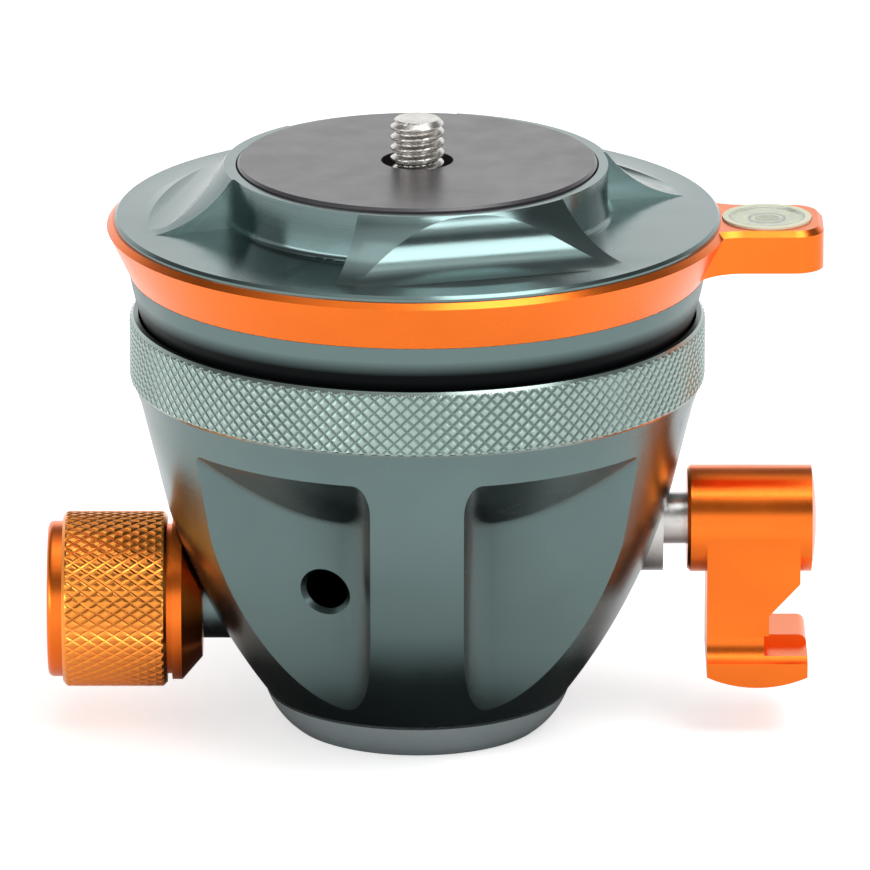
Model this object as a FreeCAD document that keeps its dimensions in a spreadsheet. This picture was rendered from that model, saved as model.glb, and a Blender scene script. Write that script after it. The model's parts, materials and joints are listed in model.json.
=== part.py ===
import FreeCAD, Part
import math
import os
import Sketcher

# Leveling base for a camera, in millimetres.
# The underside lies on z = 0 and the panning axis is the Z axis.
# The front, with the two grip recesses, faces -Y, the pan knob points to -X and the lock lever to +X.

doc = FreeCAD.newDocument("leveling_base")
sheet = doc.addObject("Spreadsheet::Sheet", "Sizes")

# Each entry is a driving dimension: its name, its value and what it measures.
SIZES = [
    ("seat_gap", 0.05, "radial room between pieces that are fixed together"),
    ("run_gap", 0.06, "radial room between a shaft and its bore"),
    ("slide_gap", 0.1, "room between flat faces that move over each other"),
    ("foot_radius", 15.1, "base ring at the underside"),
    ("base_radius", 18.2, "base ring at its top edge"),
    ("base_height", 4.2, "base ring thickness"),
    ("base_bulge", 9.0, "radius of the rounded side of the base ring"),
    ("base_web", 1.6, "base ring left under the spindle"),
    ("insert_radius", 7.0, "threaded insert outside"),
    ("insert_height", 9.4, "threaded insert length"),
    ("insert_thread", 3.97, "wall radius of the tripod thread, three eighths of an inch"),
    ("spindle_wall", 4.0, "wall of the pan spindle around the insert"),
    ("spindle_shoulder", 1.0, "shoulder of the pan spindle under its retainer"),
    ("groove_depth", 0.8, "depth of the brake groove"),
    ("brake_land", 4.6, "height of the brake groove"),
    ("spindle_lip", 0.8, "lip above the brake groove"),
    ("body_gap", 0.35, "gap around the pan knob where the housing makes way for it"),
    ("pan_gap", 0.36, "gap between base ring and housing"),
    ("floor_thick", 4.9, "housing floor thickness"),
    ("washer_thick", 0.26, "thrust washer thickness"),
    ("washer_inset", 1.6, "lower thrust washer from the base ring's edge"),
    ("retainer_height", 2.0, "spindle retainer ring"),
    ("retainer_width", 3.9, "width of the spindle retainer ring"),
    ("well_room", 0.7, "room around the retainer in the round well"),
    ("waist_inset", 4.48, "how far the housing's cone begins inside the grip collar"),
    ("cone_height", 13.2, "height of the housing's cone"),
    ("flank_radius", 76.0, "radius of the curved lower side of the housing"),
    ("shoulder_inset", 1.27, "foot of the flare from the side of the grip collar"),
    ("flare_height", 2.5, "height of the flare under the grip collar"),
    ("collar_step", 0.44, "how far the grip collar stands out over the flare"),
    ("collar_height", 8.0, "height of the grip collar"),
    ("collar_drop", 11.1, "top of the grip collar below the tilting centre"),
    ("collar_inset", 0.46, "side of the grip collar from the half ball's widest"),
    ("collar_edge", 0.35, "chamfer at the grip collar's edges"),
    ("collar_wall", 2.54, "wall of the grip collar around the housing's spigot"),
    ("spigot_height", 2.3, "height of that spigot"),
    ("recess_side", 5.5, "half width of the rib between the grip recesses"),
    ("recess_depth", 10.56, "recess floor at z = 0 from the housing's waist"),
    ("recess_turn", 0.364, "how much the recess floor falls away sideways"),
    ("recess_lean", 0.251, "how much the recess floor leans out with height"),
    ("recess_shelf", 3.7, "from the grip collar down to the recess ceiling over the shoulder"),
    ("recess_pitch", 1.0, "how much the recess ceiling falls on its way in"),
    ("recess_corner", 5.0, "radius where recess floor and rib meet"),
    ("recess_edge", 2.6, "radius along the recess ceiling"),
    ("recess_width", 36.0, "how far the recess cut runs past the side"),
    ("port_x", 10.9, "accessory hole, distance from the middle plane"),
    ("port_z", 22.4, "accessory hole height on the recess floor"),
    ("port_radius", 2.55, "wall radius of the accessory thread, a quarter of an inch"),
    ("port_depth", 7.0, "accessory hole depth"),
    ("port_sink", 3.1, "accessory hole countersink radius"),
    ("cup_floor", 2.2, "from the lever shaft's axis up to the half ball's lowest point"),
    ("ball_radius", 34.8, "half ball outside"),
    ("ball_gap", 0.3, "gap between concentric spherical faces"),
    ("ball_wall", 6.0, "half ball wall"),
    ("ball_flat", 6.8, "half ball's flat end above its lowest point"),
    ("ball_mouth", 11.5, "opening in the half ball's flat end"),
    ("neck_wall", 3.2, "wall of the neck inside the level ring"),
    ("ring_drop", 5.7, "underside of the level ring below the tilting centre"),
    ("ring_height", 6.1, "height of the level ring"),
    ("ring_wall", 2.3, "wall of the level ring at its underside"),
    ("ring_flare", 2.65, "how far the level ring widens upward"),
    ("ring_bevel", 0.65, "height of the level ring's top bevel"),
    ("tab_rim", 1.4, "rim of the tab outside the vial"),
    ("tab_side", 1.05, "rim of the tab beside the vial"),
    ("tab_thick", 5.1, "thickness of the tab"),
    ("tab_corner", 3.6, "corner radius of the tab"),
    ("tab_root", 6.0, "radius where the tab meets the ring"),
    ("tab_bite", 1.2, "inner end of that curve inside the ring's foot"),
    ("tab_swing", 1.8, "same end, drawn in towards the middle of the tab"),
    ("tab_start", 4.5, "straight sides of the tab begin this far outside the ring's foot"),
    ("vial_gap", 0.23, "gap between the vial and the top plate's flange"),
    ("vial_radius", 5.3, "vial cup outside"),
    ("vial_wall", 0.8, "wall of the vial cup"),
    ("vial_depth", 3.6, "vial cup height"),
    ("vial_floor", 0.8, "vial cup floor"),
    ("vial_rise", 0.25, "vial cup above the tab"),
    ("lens_thick", 0.9, "vial lens thickness"),
    ("bubble_radius", 1.5, "bubble"),
    ("flange_inset", 0.88, "top plate's flange inside the widest part of the level ring"),
    ("flange_thick", 0.7, "top plate's flange at its rim"),
    ("flange_bevel", 0.35, "bevel along the flange"),
    ("flange_shelf", 3.47, "flat of the flange outside the skirt"),
    ("skirt_curve", 14.0, "hollow radius of that skirt"),
    ("plate_rise", 6.7, "rim of the top plate's collar above the level ring"),
    ("rim_width", 1.9, "top plate's collar around the pad"),
    ("plate_bevel", 0.3, "bevel on the collar's rim"),
    ("pocket_inset", 0.6, "collar cut back inside the pockets"),
    ("pocket_angle", 54.6, "angle that each pocket spans"),
    ("pocket_azimuth", -44.7, "first pocket, counted from the front towards +X"),
    ("pocket_edge", 0.8, "radius along the foot of the pocket wall"),
    ("flute_azimuth", 16.0, "first flute, counted from the front towards +X"),
    ("flute_inset", 0.2, "flute's nearest point inside the collar's side"),
    ("flute_radius", 6.2, "flute radius"),
    ("flute_lift", 0.03, "lowest line of each flute above the flange"),
    ("pad_radius", 21.4, "rubbing pad"),
    ("pad_proud", 0.45, "how far the pad stands out of its collar"),
    ("pad_thick", 2.4, "pad thickness"),
    ("pad_bevel", 0.3, "bevel around the pad"),
    ("pad_gap", 0.2, "gap around the pad"),
    ("pad_hole", 4.3, "hole in the pad around the stud"),
    ("stud_radius", 3.175, "camera stud, a quarter of an inch"),
    ("stud_shank", 4.6, "shank of the stud inside the plate"),
    ("stud_neck", 2.6, "neck of the stud inside the pad"),
    ("stud_length", 5.15, "camera stud above the pad"),
    ("stud_tip", 0.6, "chamfer at the stud's tip"),
    ("stud_head", 6.5, "flange of the stud under the plate"),
    ("stud_head_thick", 1.8, "thickness of that flange"),
    ("link_wall", 2.9, "wall of the threaded spigot under the top plate"),
    ("link_depth", 4.0, "length of that spigot"),
    ("grub_radius", 1.4, "grub screws"),
    ("grub_rise", 3.0, "neck's grub screws above the level ring's underside"),
    ("washer_wall", 0.8, "spherical friction washer"),
    ("washer_low", 27.0, "lower edge of the friction washer, degrees from straight down"),
    ("washer_high", 43.0, "upper edge of the friction washer, degrees from straight down"),
    ("dish_thick", 8.4, "clamp dish from its lowest point to its flat top"),
    ("rod_radius", 4.0, "draw rod"),
    ("rod_rise", 9.4, "draw rod above the clamp dish"),
    ("eye_below", 6.1, "draw rod's eye below the lever shaft's axis"),
    ("eye_above", 6.0, "draw rod's eye above the lever shaft's axis"),
    ("eye_length", 11.0, "eye along the lever shaft"),
    ("eye_width", 14.0, "eye across the lever shaft"),
    ("eye_turned", 7.8, "radius to which the eye's corners are turned"),
    ("rod_overlap", 1.0, "how far the draw rod's shank runs into its eye"),
    ("spring_radius", 9.0, "disc springs outside"),
    ("spring_thick", 0.8, "disc spring thickness"),
    ("spring_rise", 0.45, "cone height of a disc spring"),
    ("nut_width", 13.0, "clamp nut across its flats"),
    ("nut_height", 6.0, "clamp nut height"),
    ("eye_room", 0.95, "room between pan spindle and draw rod"),
    ("cam_radius", 4.5, "cam on the lever shaft"),
    ("cam_throw", 0.25, "cam's offset"),
    ("cam_side", 0.5, "cam beyond each end of the eye"),
    ("cam_room", 0.12, "room above and below the cam in its eye"),
    ("tail_radius", 3.9, "inner journal of the lever shaft"),
    ("tail_end", 18.4, "end of the inner journal"),
    ("cam_pass", 0.35, "outer journal over the cam, so that the cam passes its bore"),
    ("journal_end", 19.0, "end of the outer journal"),
    ("lever_shaft_radius", 3.1, "lever shaft where it shows"),
    ("bush_step", 1.2, "lever bush over the outer journal"),
    ("bush_inset", 0.46, "outer end of the lever bush inside the housing's waist"),
    ("hub_room", 2.9, "shaft in sight between bush and hub"),
    ("hub_length", 14.9, "length of the lever's hub"),
    ("hub_radius", 6.4, "lever's hub"),
    ("hub_crown", 0.6, "dome on the hub's end"),
    ("hub_edge", 0.4, "chamfer at the hub's inner end"),
    ("hub_dome", 34.4, "radius of the hub's domed end"),
    ("hub_bore", 12.0, "depth of the shaft in the hub"),
    ("arm_inset", 2.35, "inner edge of the lever's arm from the hub's inner face"),
    ("arm_width", 11.15, "width of the arm at the hub"),
    ("neck_width", 7.45, "width of the arm at its neck"),
    ("arm_neck_height", 14.6, "height where the arm is down to its neck"),
    ("toe_reach", 0.9, "how far the toe stands out past the arm"),
    ("toe_ledge", 10.9, "ledge on top of the toe"),
    ("toe_round", 1.0, "rounded corner of the toe"),
    ("arm_foot", 7.5, "corners of the arm's end"),
    ("arm_crown", 14.6, "radius of the rounded end of the arm"),
    ("arm_set", 0.1, "front of the arm behind the foremost line of the hub"),
    ("toe_front", 8.2, "front lip of the toe from the shaft's axis"),
    ("toe_lip", 9.2, "height of the lip at the end of the toe"),
    ("toe_sweep", 2.6, "height of the hollow above the lip"),
    ("toe_hollow", 3.2, "radius of that hollow"),
    ("toe_step", 1.85, "front face of the ledge from the shaft's axis"),
    ("toe_bite", 0.6, "how far the cut in front of the ledge runs into the arm"),
    ("toe_clear", 1.2, "how far that cut runs above the ledge"),
    ("knob_lift", 0.63, "from the retainer up to the brake groove"),
    ("land_width", 1.8, "width of the outer land of the pan knob"),
    ("knob_land", 9.35, "outer land of the pan knob"),
    ("knob_round", 0.7, "rounding of that land"),
    ("grip_length", 12.5, "length of the knurled grip"),
    ("knob_belt", 1.8, "width of groove and shoulder beside the grip"),
    ("grip_radius", 10.53, "knurled grip"),
    ("grip_edge", 0.5, "chamfer at the ends of the grip"),
    ("knob_groove", 9.0, "groove between grip and shoulder"),
    ("knob_groove_width", 0.6, "width of that groove"),
    ("knob_shoulder", 9.7, "smooth shoulder of the knob"),
    ("nose_length", 2.4, "length of the shoulder's cone"),
    ("knob_nose", 6.95, "small end of the shoulder's cone"),
    ("knob_room", 0.1, "room between bush and pan knob"),
    ("knob_bore", 10.5, "depth of the screw in the knob"),
    ("screw_radius", 2.95, "pan screw"),
    ("collet_radius", 4.72, "pan knob's bush outside"),
    ("collet_start", 18.0, "inner end of the bush"),
    ("collet_end", 25.7, "outer end of the bush"),
    ("pin_radius", 2.95, "brake pin"),
    ("pin_tip", 2.0, "brake pin's tip"),
    ("pin_shoulder", 15.2, "where the brake pin's tip begins"),
    ("pin_end", 17.6, "outer end of the brake pin"),
    ("pin_gap", 0.15, "brake pin to brake groove"),
    ("seat_rise", 4.8, "bronze seat ring above the half ball's lowest point"),
    ("seat_height", 3.4, "height of the bronze seat ring"),
    ("seat_wall", 1.0, "bronze seat ring wall"),
    ("base_screw_radius", 0.95, "base screw"),
    ("base_screw_head", 1.6, "base screw head"),
    ("base_screw_sink", 0.9, "depth of the base screws' heads"),
    ("base_screw_length", 5.4, "base screw length"),
    ("hub_grub_offset", 5.0, "lever's grub screw from the hub's inner face"),
    ("knob_grub_offset", 3.4, "knob's grub screw from its inner face"),
]
# Sizes that follow from those in the sheet: each name and the sum that gives it.
FOLLOWING = {
    "housing_low": "base_height + pan_gap",
    "floor_top": "housing_low + floor_thick",
    "retainer_seat": "floor_top + washer_thick + 2*slide_gap",
    "knob_height": "retainer_seat + retainer_height + knob_lift + 0.5*brake_land",
    "groove_low": "knob_height - 0.5*brake_land",
    "groove_high": "knob_height + 0.5*brake_land",
    "spindle_top": "groove_high + spindle_lip",
    "spindle_radius": "insert_radius + spindle_wall",
    "spindle_neck": "spindle_radius - spindle_shoulder",
    "brake_groove": "spindle_neck - groove_depth",
    "base_screw_circle": "insert_radius + 0.5*spindle_wall",
    "retainer_radius": "spindle_neck + retainer_width",
    "well_radius": "retainer_radius + well_room",
    "lever_height": "spindle_top + eye_room + eye_below",
    "eye_low": "lever_height - eye_below",
    "eye_high": "lever_height + eye_above",
    "cam_length": "eye_length + 2*cam_side",
    "journal_radius": "cam_radius + cam_throw + cam_pass",
    "bush_radius": "journal_radius + bush_step",
    "ball_height": "lever_height + cup_floor + ball_radius",
    "ball_inside": "ball_radius - ball_wall",
    "ball_end": "ball_height - ball_radius + ball_flat",
    "dish_radius": "ball_inside - 2*ball_gap - washer_wall",
    "dish_top": "ball_height - dish_radius + dish_thick",
    "rod_top": "dish_top + rod_rise",
    "seat_low": "ball_height - ball_radius + seat_rise",
    "seat_high": "seat_low + seat_height",
    "collar_top": "ball_height - collar_drop",
    "collar_bottom": "collar_top - collar_height",
    "shoulder_height": "collar_bottom - flare_height",
    "waist_height": "shoulder_height - cone_height",
    "collar_radius": "ball_radius - collar_inset",
    "collar_flare": "collar_radius - collar_step",
    "shoulder_radius": "collar_radius - shoulder_inset",
    "waist_radius": "collar_radius - waist_inset",
    "spigot_radius": "collar_radius - collar_wall",
    "recess_reach": "waist_radius - recess_depth",
    "recess_top": "collar_bottom - recess_shelf",
    "neck_radius": "ball_inside + neck_wall",
    "ring_bottom": "ball_height - ring_drop",
    "ring_top": "ring_bottom + ring_height",
    "ring_foot": "neck_radius + ring_wall",
    "ring_radius": "ring_foot + ring_flare",
    "grub_height": "ring_bottom + grub_rise",
    "flange_radius": "ring_radius - flange_inset",
    "flange_top": "ring_top + flange_thick",
    "skirt_radius": "flange_radius - flange_shelf",
    "plate_top": "ring_top + plate_rise",
    "plate_radius": "pad_radius + rim_width",
    "pocket_wall": "plate_radius - pocket_inset",
    "flute_wall": "plate_radius - flute_inset",
    "pad_top": "plate_top + pad_proud",
    "pad_low": "pad_top - pad_thick",
    "stud_top": "pad_top + stud_length",
    "vial_bore": "vial_radius - vial_wall",
    "vial_x": "flange_radius + vial_gap + vial_radius",
    "vial_low": "ring_top + vial_rise - vial_depth",
    "tab_reach": "vial_x + vial_radius + tab_rim",
    "tab_width": "2*vial_radius + 2*tab_side",
    "bush_end": "waist_radius - bush_inset",
    "hub_start": "bush_end + hub_room",
    "hub_end": "hub_start + hub_length",
    "arm_half": "hub_radius - arm_set",
    "arm_inner": "hub_start + arm_inset",
    "arm_outer": "arm_inner + arm_width",
    "arm_neck": "arm_inner + neck_width",
    "arm_toe": "arm_outer + toe_reach",
    "knob_start": "collet_end + knob_room",
    "knob_shoulder_end": "knob_start + nose_length",
    "grip_inner": "knob_shoulder_end + knob_belt",
    "grip_outer": "grip_inner + grip_length",
    "knob_end": "grip_outer + land_width",
}
ROWS = {}
for row, (alias, value, meaning) in enumerate(SIZES, 1):
    sheet.set("A%d" % row, alias)
    sheet.set("B%d" % row, str(value))
    sheet.set("C%d" % row, meaning)
    sheet.setAlias("B%d" % row, alias)
    ROWS[alias] = value
doc.recompute()

UP = FreeCAD.Vector(0, 0, 1)
ALONG_X = FreeCAD.Vector(1, 0, 0)
ALONG_MINUS_X = FreeCAD.Vector(-1, 0, 0)
FAR = "200"
parts = []


def words(formula):
    """Point every size named in a formula at the spreadsheet."""
    text = ""
    word = ""
    for mark in formula + " ":
        if mark.isalpha() or mark == "_":
            word += mark
            continue
        if word in FOLLOWING:
            text += "(" + words(FOLLOWING[word]) + ")"
        else:
            text += "Sizes." + word if word in ROWS else word
        word = ""
        text += mark
    return text.strip()


def term(text):
    """Value of one product of sizes and plain numbers."""
    product = 1.0
    for factor in text.split("*"):
        if factor in FOLLOWING:
            product *= number(FOLLOWING[factor])
        else:
            product *= ROWS[factor] if factor in ROWS else float(factor)
    return product


def number(formula):
    """Value of a sum of such products, written with spaces around + and -."""
    total = 0.0
    sign = 1.0
    for piece in formula.split():
        if piece == "-":
            sign = -1.0
        elif piece == "+":
            sign = 1.0
        else:
            total += sign * term(piece.lstrip("-")) * (-1.0 if piece.startswith("-") else 1.0)
    return total


def bind(thing, prop, formula):
    thing.setExpression(prop, words(formula))


def place(thing, at=("0", "0", "0"), rotation=None):
    """Set a thing's rotation and bind its position to the sizes."""
    if rotation is not None:
        thing.Placement = FreeCAD.Placement(FreeCAD.Vector(), rotation)
    for letter, formula in zip("xyz", at):
        bind(thing, "Placement.Base." + letter, formula)
    return thing


def turn_to(direction):
    return FreeCAD.Rotation(UP, direction)


def cylinder(name, radius, length, at=("0", "0", "0"), direction=UP):
    solid = doc.addObject("Part::Cylinder", name)
    bind(solid, "Radius", radius)
    bind(solid, "Height", length)
    return place(solid, at, turn_to(direction))


def cone(name, low, high, length, at=("0", "0", "0"), direction=UP):
    solid = doc.addObject("Part::Cone", name)
    bind(solid, "Radius1", low)
    bind(solid, "Radius2", high)
    bind(solid, "Height", length)
    return place(solid, at, turn_to(direction))


def sphere(name, radius, at=("0", "0", "ball_height")):
    solid = doc.addObject("Part::Sphere", name)
    bind(solid, "Radius", radius)
    return place(solid, at)


def box(name, size, at):
    solid = doc.addObject("Part::Box", name)
    for prop, formula in zip(("Length", "Width", "Height"), size):
        bind(solid, prop, formula)
    return place(solid, at)


def cut(name, base, *tools):
    result = doc.addObject("Part::Cut", name)
    result.Base = base
    result.Tool = tools[0] if len(tools) == 1 else fuse(name + "_tools", *tools)
    return result


def fuse(name, *solids):
    result = doc.addObject("Part::MultiFuse", name)
    result.Shapes = list(solids)
    return result


def common(name, first, second):
    result = doc.addObject("Part::Common", name)
    result.Base = first
    result.Tool = second
    return result


def group(name, solids):
    result = doc.addObject("Part::Compound", name)
    result.Links = list(solids)
    return result


def mirrored(name, source, normal):
    result = doc.addObject("Part::Mirroring", name)
    result.Source = source
    result.Normal = normal
    return result


def new_body(name):
    return doc.addObject("PartDesign::Body", name)


def plane_of(body, role):
    return [item for item in body.Origin.OriginFeatures if item.Role == role][0]


def corner_fixed(sketch, edge, end, across, upward):
    """Bind one corner of an outline to two formulas, in the sketch's own axes."""
    for kind, formula, axis in (("DistanceX", across, -2), ("DistanceY", upward, -1)):
        if formula == "0":
            sketch.addConstraint(Sketcher.Constraint("PointOnObject", edge, end, axis))
            continue
        rule = Sketcher.Constraint(kind, -1, 1, edge, end, number(formula))
        place_in_list = sketch.addConstraint(rule)
        bind(sketch, "Constraints[%d]" % place_in_list, formula)


def outline(body, name, role, corners, bends=None):
    """Closed sketch through the corners; bends gives a radius and a side for curved stretches."""
    bends = bends or {}
    sketch = body.newObject("Sketcher::SketchObject", name)
    sketch.AttachmentSupport = [(plane_of(body, role), "")]
    sketch.MapMode = "FlatFace"
    points = [FreeCAD.Vector(number(a), number(b), 0) for a, b in corners]
    ends = []
    for index, start in enumerate(points):
        stop = points[(index + 1) % len(points)]
        if index not in bends:
            sketch.addGeometry(Part.LineSegment(start, stop), False)
            ends.append((1, 2))
            continue
        radius, side = bends[index]
        chord = stop - start
        sagitta = number(radius) - math.sqrt(number(radius) ** 2 - (chord.Length / 2) ** 2)
        across = FreeCAD.Vector(-chord.y, chord.x, 0).normalize()
        middle = (start + stop) * 0.5 + across * (side * sagitta)
        sketch.addGeometry(Part.Arc(start, middle, stop), False)
        first = sketch.getPoint(index, 1)
        ends.append((1, 2) if (first - start).Length < 1e-6 else (2, 1))
    for index, (a, b) in enumerate(corners):
        following = (index + 1) % len(points)
        link = Sketcher.Constraint("Coincident", index, ends[index][1], following, ends[following][0])
        sketch.addConstraint(link)
        corner_fixed(sketch, index, ends[index][0], a, b)
    for index, (radius, side) in bends.items():
        rule = sketch.addConstraint(Sketcher.Constraint("Radius", index, number(radius)))
        bind(sketch, "Constraints[%d]" % rule, radius)
    return sketch


def turned(name, corners, bends=None, axis="V_Axis", role="XZ_Plane"):
    """Solid of revolution about the Z axis, or about the X axis with axis H_Axis."""
    body = new_body(name)
    sketch = outline(body, name + "_outline", role, corners, bends)
    solid = body.newObject("PartDesign::Revolution", name + "_turning")
    solid.Profile = sketch
    solid.ReferenceAxis = (sketch, [axis])
    solid.Angle = 360
    body.Tip = solid
    return body


def keep(thing, label):
    """List a finished piece and give it the name of its file."""
    thing.Label = label
    parts.append(thing)
    return thing


def facing(azimuth, pitch=0.0):
    """Unit vector at an azimuth from the front towards +X, tipped up by pitch."""
    turn = math.radians(azimuth)
    tip = math.radians(pitch)
    flat = math.cos(tip)
    return FreeCAD.Vector(flat * math.sin(turn), -flat * math.cos(turn), math.sin(tip))


# Where the axes of lever and pan knob cross the middle plane.
ON_LEVER = ("0", "0", "lever_height")
ON_KNOB = ("0", "0", "knob_height")


def screw_ring(name, count, radius, length, circle, low, first=0.0):
    """Upright cylinders spaced evenly on a circle."""
    solids = []
    for index in range(count):
        turn = "%s" % (first + 360.0 * index / count)
        at = ("%s*cos(%s)" % (circle, turn), "%s*sin(%s)" % (circle, turn), low)
        solids.append(cylinder("%s_%d" % (name, index), radius, length, at))
    return solids


def make_base():
    ring = turned("base_ring_blank", [
        ("insert_radius + seat_gap", "0"),
        ("foot_radius", "0"),
        ("base_radius", "base_height"),
        ("spindle_radius + seat_gap", "base_height"),
        ("spindle_radius + seat_gap", "base_web"),
        ("insert_radius + seat_gap", "base_web"),
    ], {1: ("base_bulge", -1)})
    clear = screw_ring("screw_way", 4, "base_screw_radius + seat_gap", "base_height",
                       "base_screw_circle", "0", 45.0)
    sink = screw_ring("screw_sink", 4, "base_screw_head + seat_gap", "base_screw_sink",
                      "base_screw_circle", "0", 45.0)
    keep(cut("base_ring_cut", ring, *(clear + sink)), "base_ring")

    spindle = turned("spindle_blank", [
        ("0", "insert_height + seat_gap"),
        ("insert_radius + seat_gap", "insert_height + seat_gap"),
        ("insert_radius + seat_gap", "base_web"),
        ("spindle_radius", "base_web"),
        ("spindle_radius", "retainer_seat"),
        ("spindle_neck", "retainer_seat"),
        ("spindle_neck", "groove_low"),
        ("brake_groove", "groove_low"),
        ("brake_groove", "groove_high"),
        ("spindle_neck", "groove_high"),
        ("spindle_neck", "spindle_top"),
        ("0", "spindle_top"),
    ])
    taps = screw_ring("screw_tap", 4, "base_screw_radius + seat_gap", "base_screw_length + seat_gap",
                      "base_screw_circle", "0", 45.0)
    keep(cut("spindle_cut", spindle, *taps), "pan_spindle")

    keep(turned("insert", [
        ("insert_thread", "0"),
        ("insert_radius", "0"),
        ("insert_radius", "insert_height"),
        ("insert_thread", "insert_height"),
    ]), "base_thread_insert")

    shanks = screw_ring("screw_shank", 4, "base_screw_radius", "base_screw_length",
                        "base_screw_circle", "0", 45.0)
    heads = screw_ring("screw_head", 4, "base_screw_head", "base_screw_sink",
                       "base_screw_circle", "0", 45.0)
    screws = [fuse("base_screw_%d" % index, shanks[index], heads[index]) for index in range(4)]
    keep(group("base_screw_set", screws), "base_screws")

    keep(turned("retainer", [
        ("spindle_neck + seat_gap", "retainer_seat"),
        ("retainer_radius", "retainer_seat"),
        ("retainer_radius", "retainer_seat + retainer_height"),
        ("spindle_neck + seat_gap", "retainer_seat + retainer_height"),
    ]), "spindle_retainer")
    keep(turned("upper_washer", [
        ("spindle_radius + 2*seat_gap", "floor_top + slide_gap"),
        ("retainer_radius", "floor_top + slide_gap"),
        ("retainer_radius", "floor_top + slide_gap + washer_thick"),
        ("spindle_radius + 2*seat_gap", "floor_top + slide_gap + washer_thick"),
    ]), "upper_thrust_washer")
    keep(turned("lower_washer", [
        ("spindle_radius + 2*seat_gap", "base_height + 0.5*slide_gap"),
        ("base_radius - washer_inset", "base_height + 0.5*slide_gap"),
        ("base_radius - washer_inset", "base_height + 0.5*slide_gap + washer_thick"),
        ("spindle_radius + 2*seat_gap", "base_height + 0.5*slide_gap + washer_thick"),
    ]), "lower_thrust_washer")


def recess_cutter():
    """The cut for the front left grip recess: a leaning prism with rounded inner edges."""
    body = new_body("recess_plan")
    sketch = outline(body, "recess_outline", "XY_Plane", [
        ("-recess_side", "-2*recess_width"),
        ("-recess_side", "-recess_reach + recess_side*recess_turn"),
        ("-recess_width", "-recess_reach + recess_width*recess_turn"),
        ("-recess_width", "-2*recess_width"),
    ])
    prism = doc.addObject("Part::Extrusion", "recess_prism")
    prism.Base = sketch
    prism.DirMode = "Custom"
    prism.Solid = True
    bind(prism, "Dir.y", "-recess_lean")
    prism.Dir = FreeCAD.Vector(0, -number("recess_lean"), 1)
    bind(prism, "LengthFwd", "collar_bottom*sqrt(1 + recess_lean^2)")
    roof = cone("recess_roof", "0", "2*recess_width", "2*recess_width*recess_pitch",
                ("0", "0", "recess_top - recess_pitch*shoulder_radius"))
    roofed = cut("recess_roofed", prism, roof)
    doc.recompute()
    return round_edges("recess_rounding", roofed)


def round_edges(name, blank):
    """Round the upright inner corner, then the edges that the ceiling shares with floor and rib."""
    side = number("recess_side")
    first = doc.addObject("Part::Fillet", name + "_corner")
    first.Base = blank
    picked = []
    for index, edge in enumerate(blank.Shape.Edges, 1):
        low, high = sorted((vertex.Point for vertex in edge.Vertexes), key=lambda point: point.z)
        upright = high.z - low.z > 0.5 * number("recess_top")
        inner = abs(low.x + side) < 1e-6 and low.y > -number("recess_reach")
        if upright and inner:
            picked.append((index, number("recess_corner"), number("recess_corner")))
    first.Edges = picked
    doc.recompute()
    second = doc.addObject("Part::Fillet", name + "_ceiling")
    second.Base = first
    codes = [edge.hashCode() for edge in first.Shape.Edges]
    picked = []
    for face in first.Shape.Faces:
        if face.Surface.TypeId != "Part::GeomCone":
            continue
        for edge in face.Edges:
            if min(vertex.Point.z for vertex in edge.Vertexes) < number("recess_top"):
                index = codes.index(edge.hashCode()) + 1
                picked.append((index, number("recess_edge"), number("recess_edge")))
    second.Edges = picked
    doc.recompute()
    return second


def port_direction():
    """Outward direction of the accessory hole, square to the recess floor."""
    way = FreeCAD.Vector(-number("recess_turn"), -1, -number("recess_lean"))
    return way.normalize()


def port_point():
    """Where the accessory hole's axis meets the recess floor."""
    depth = "-recess_reach + port_x*recess_turn - port_z*recess_lean"
    return ("-port_x", depth, "port_z")


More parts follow.
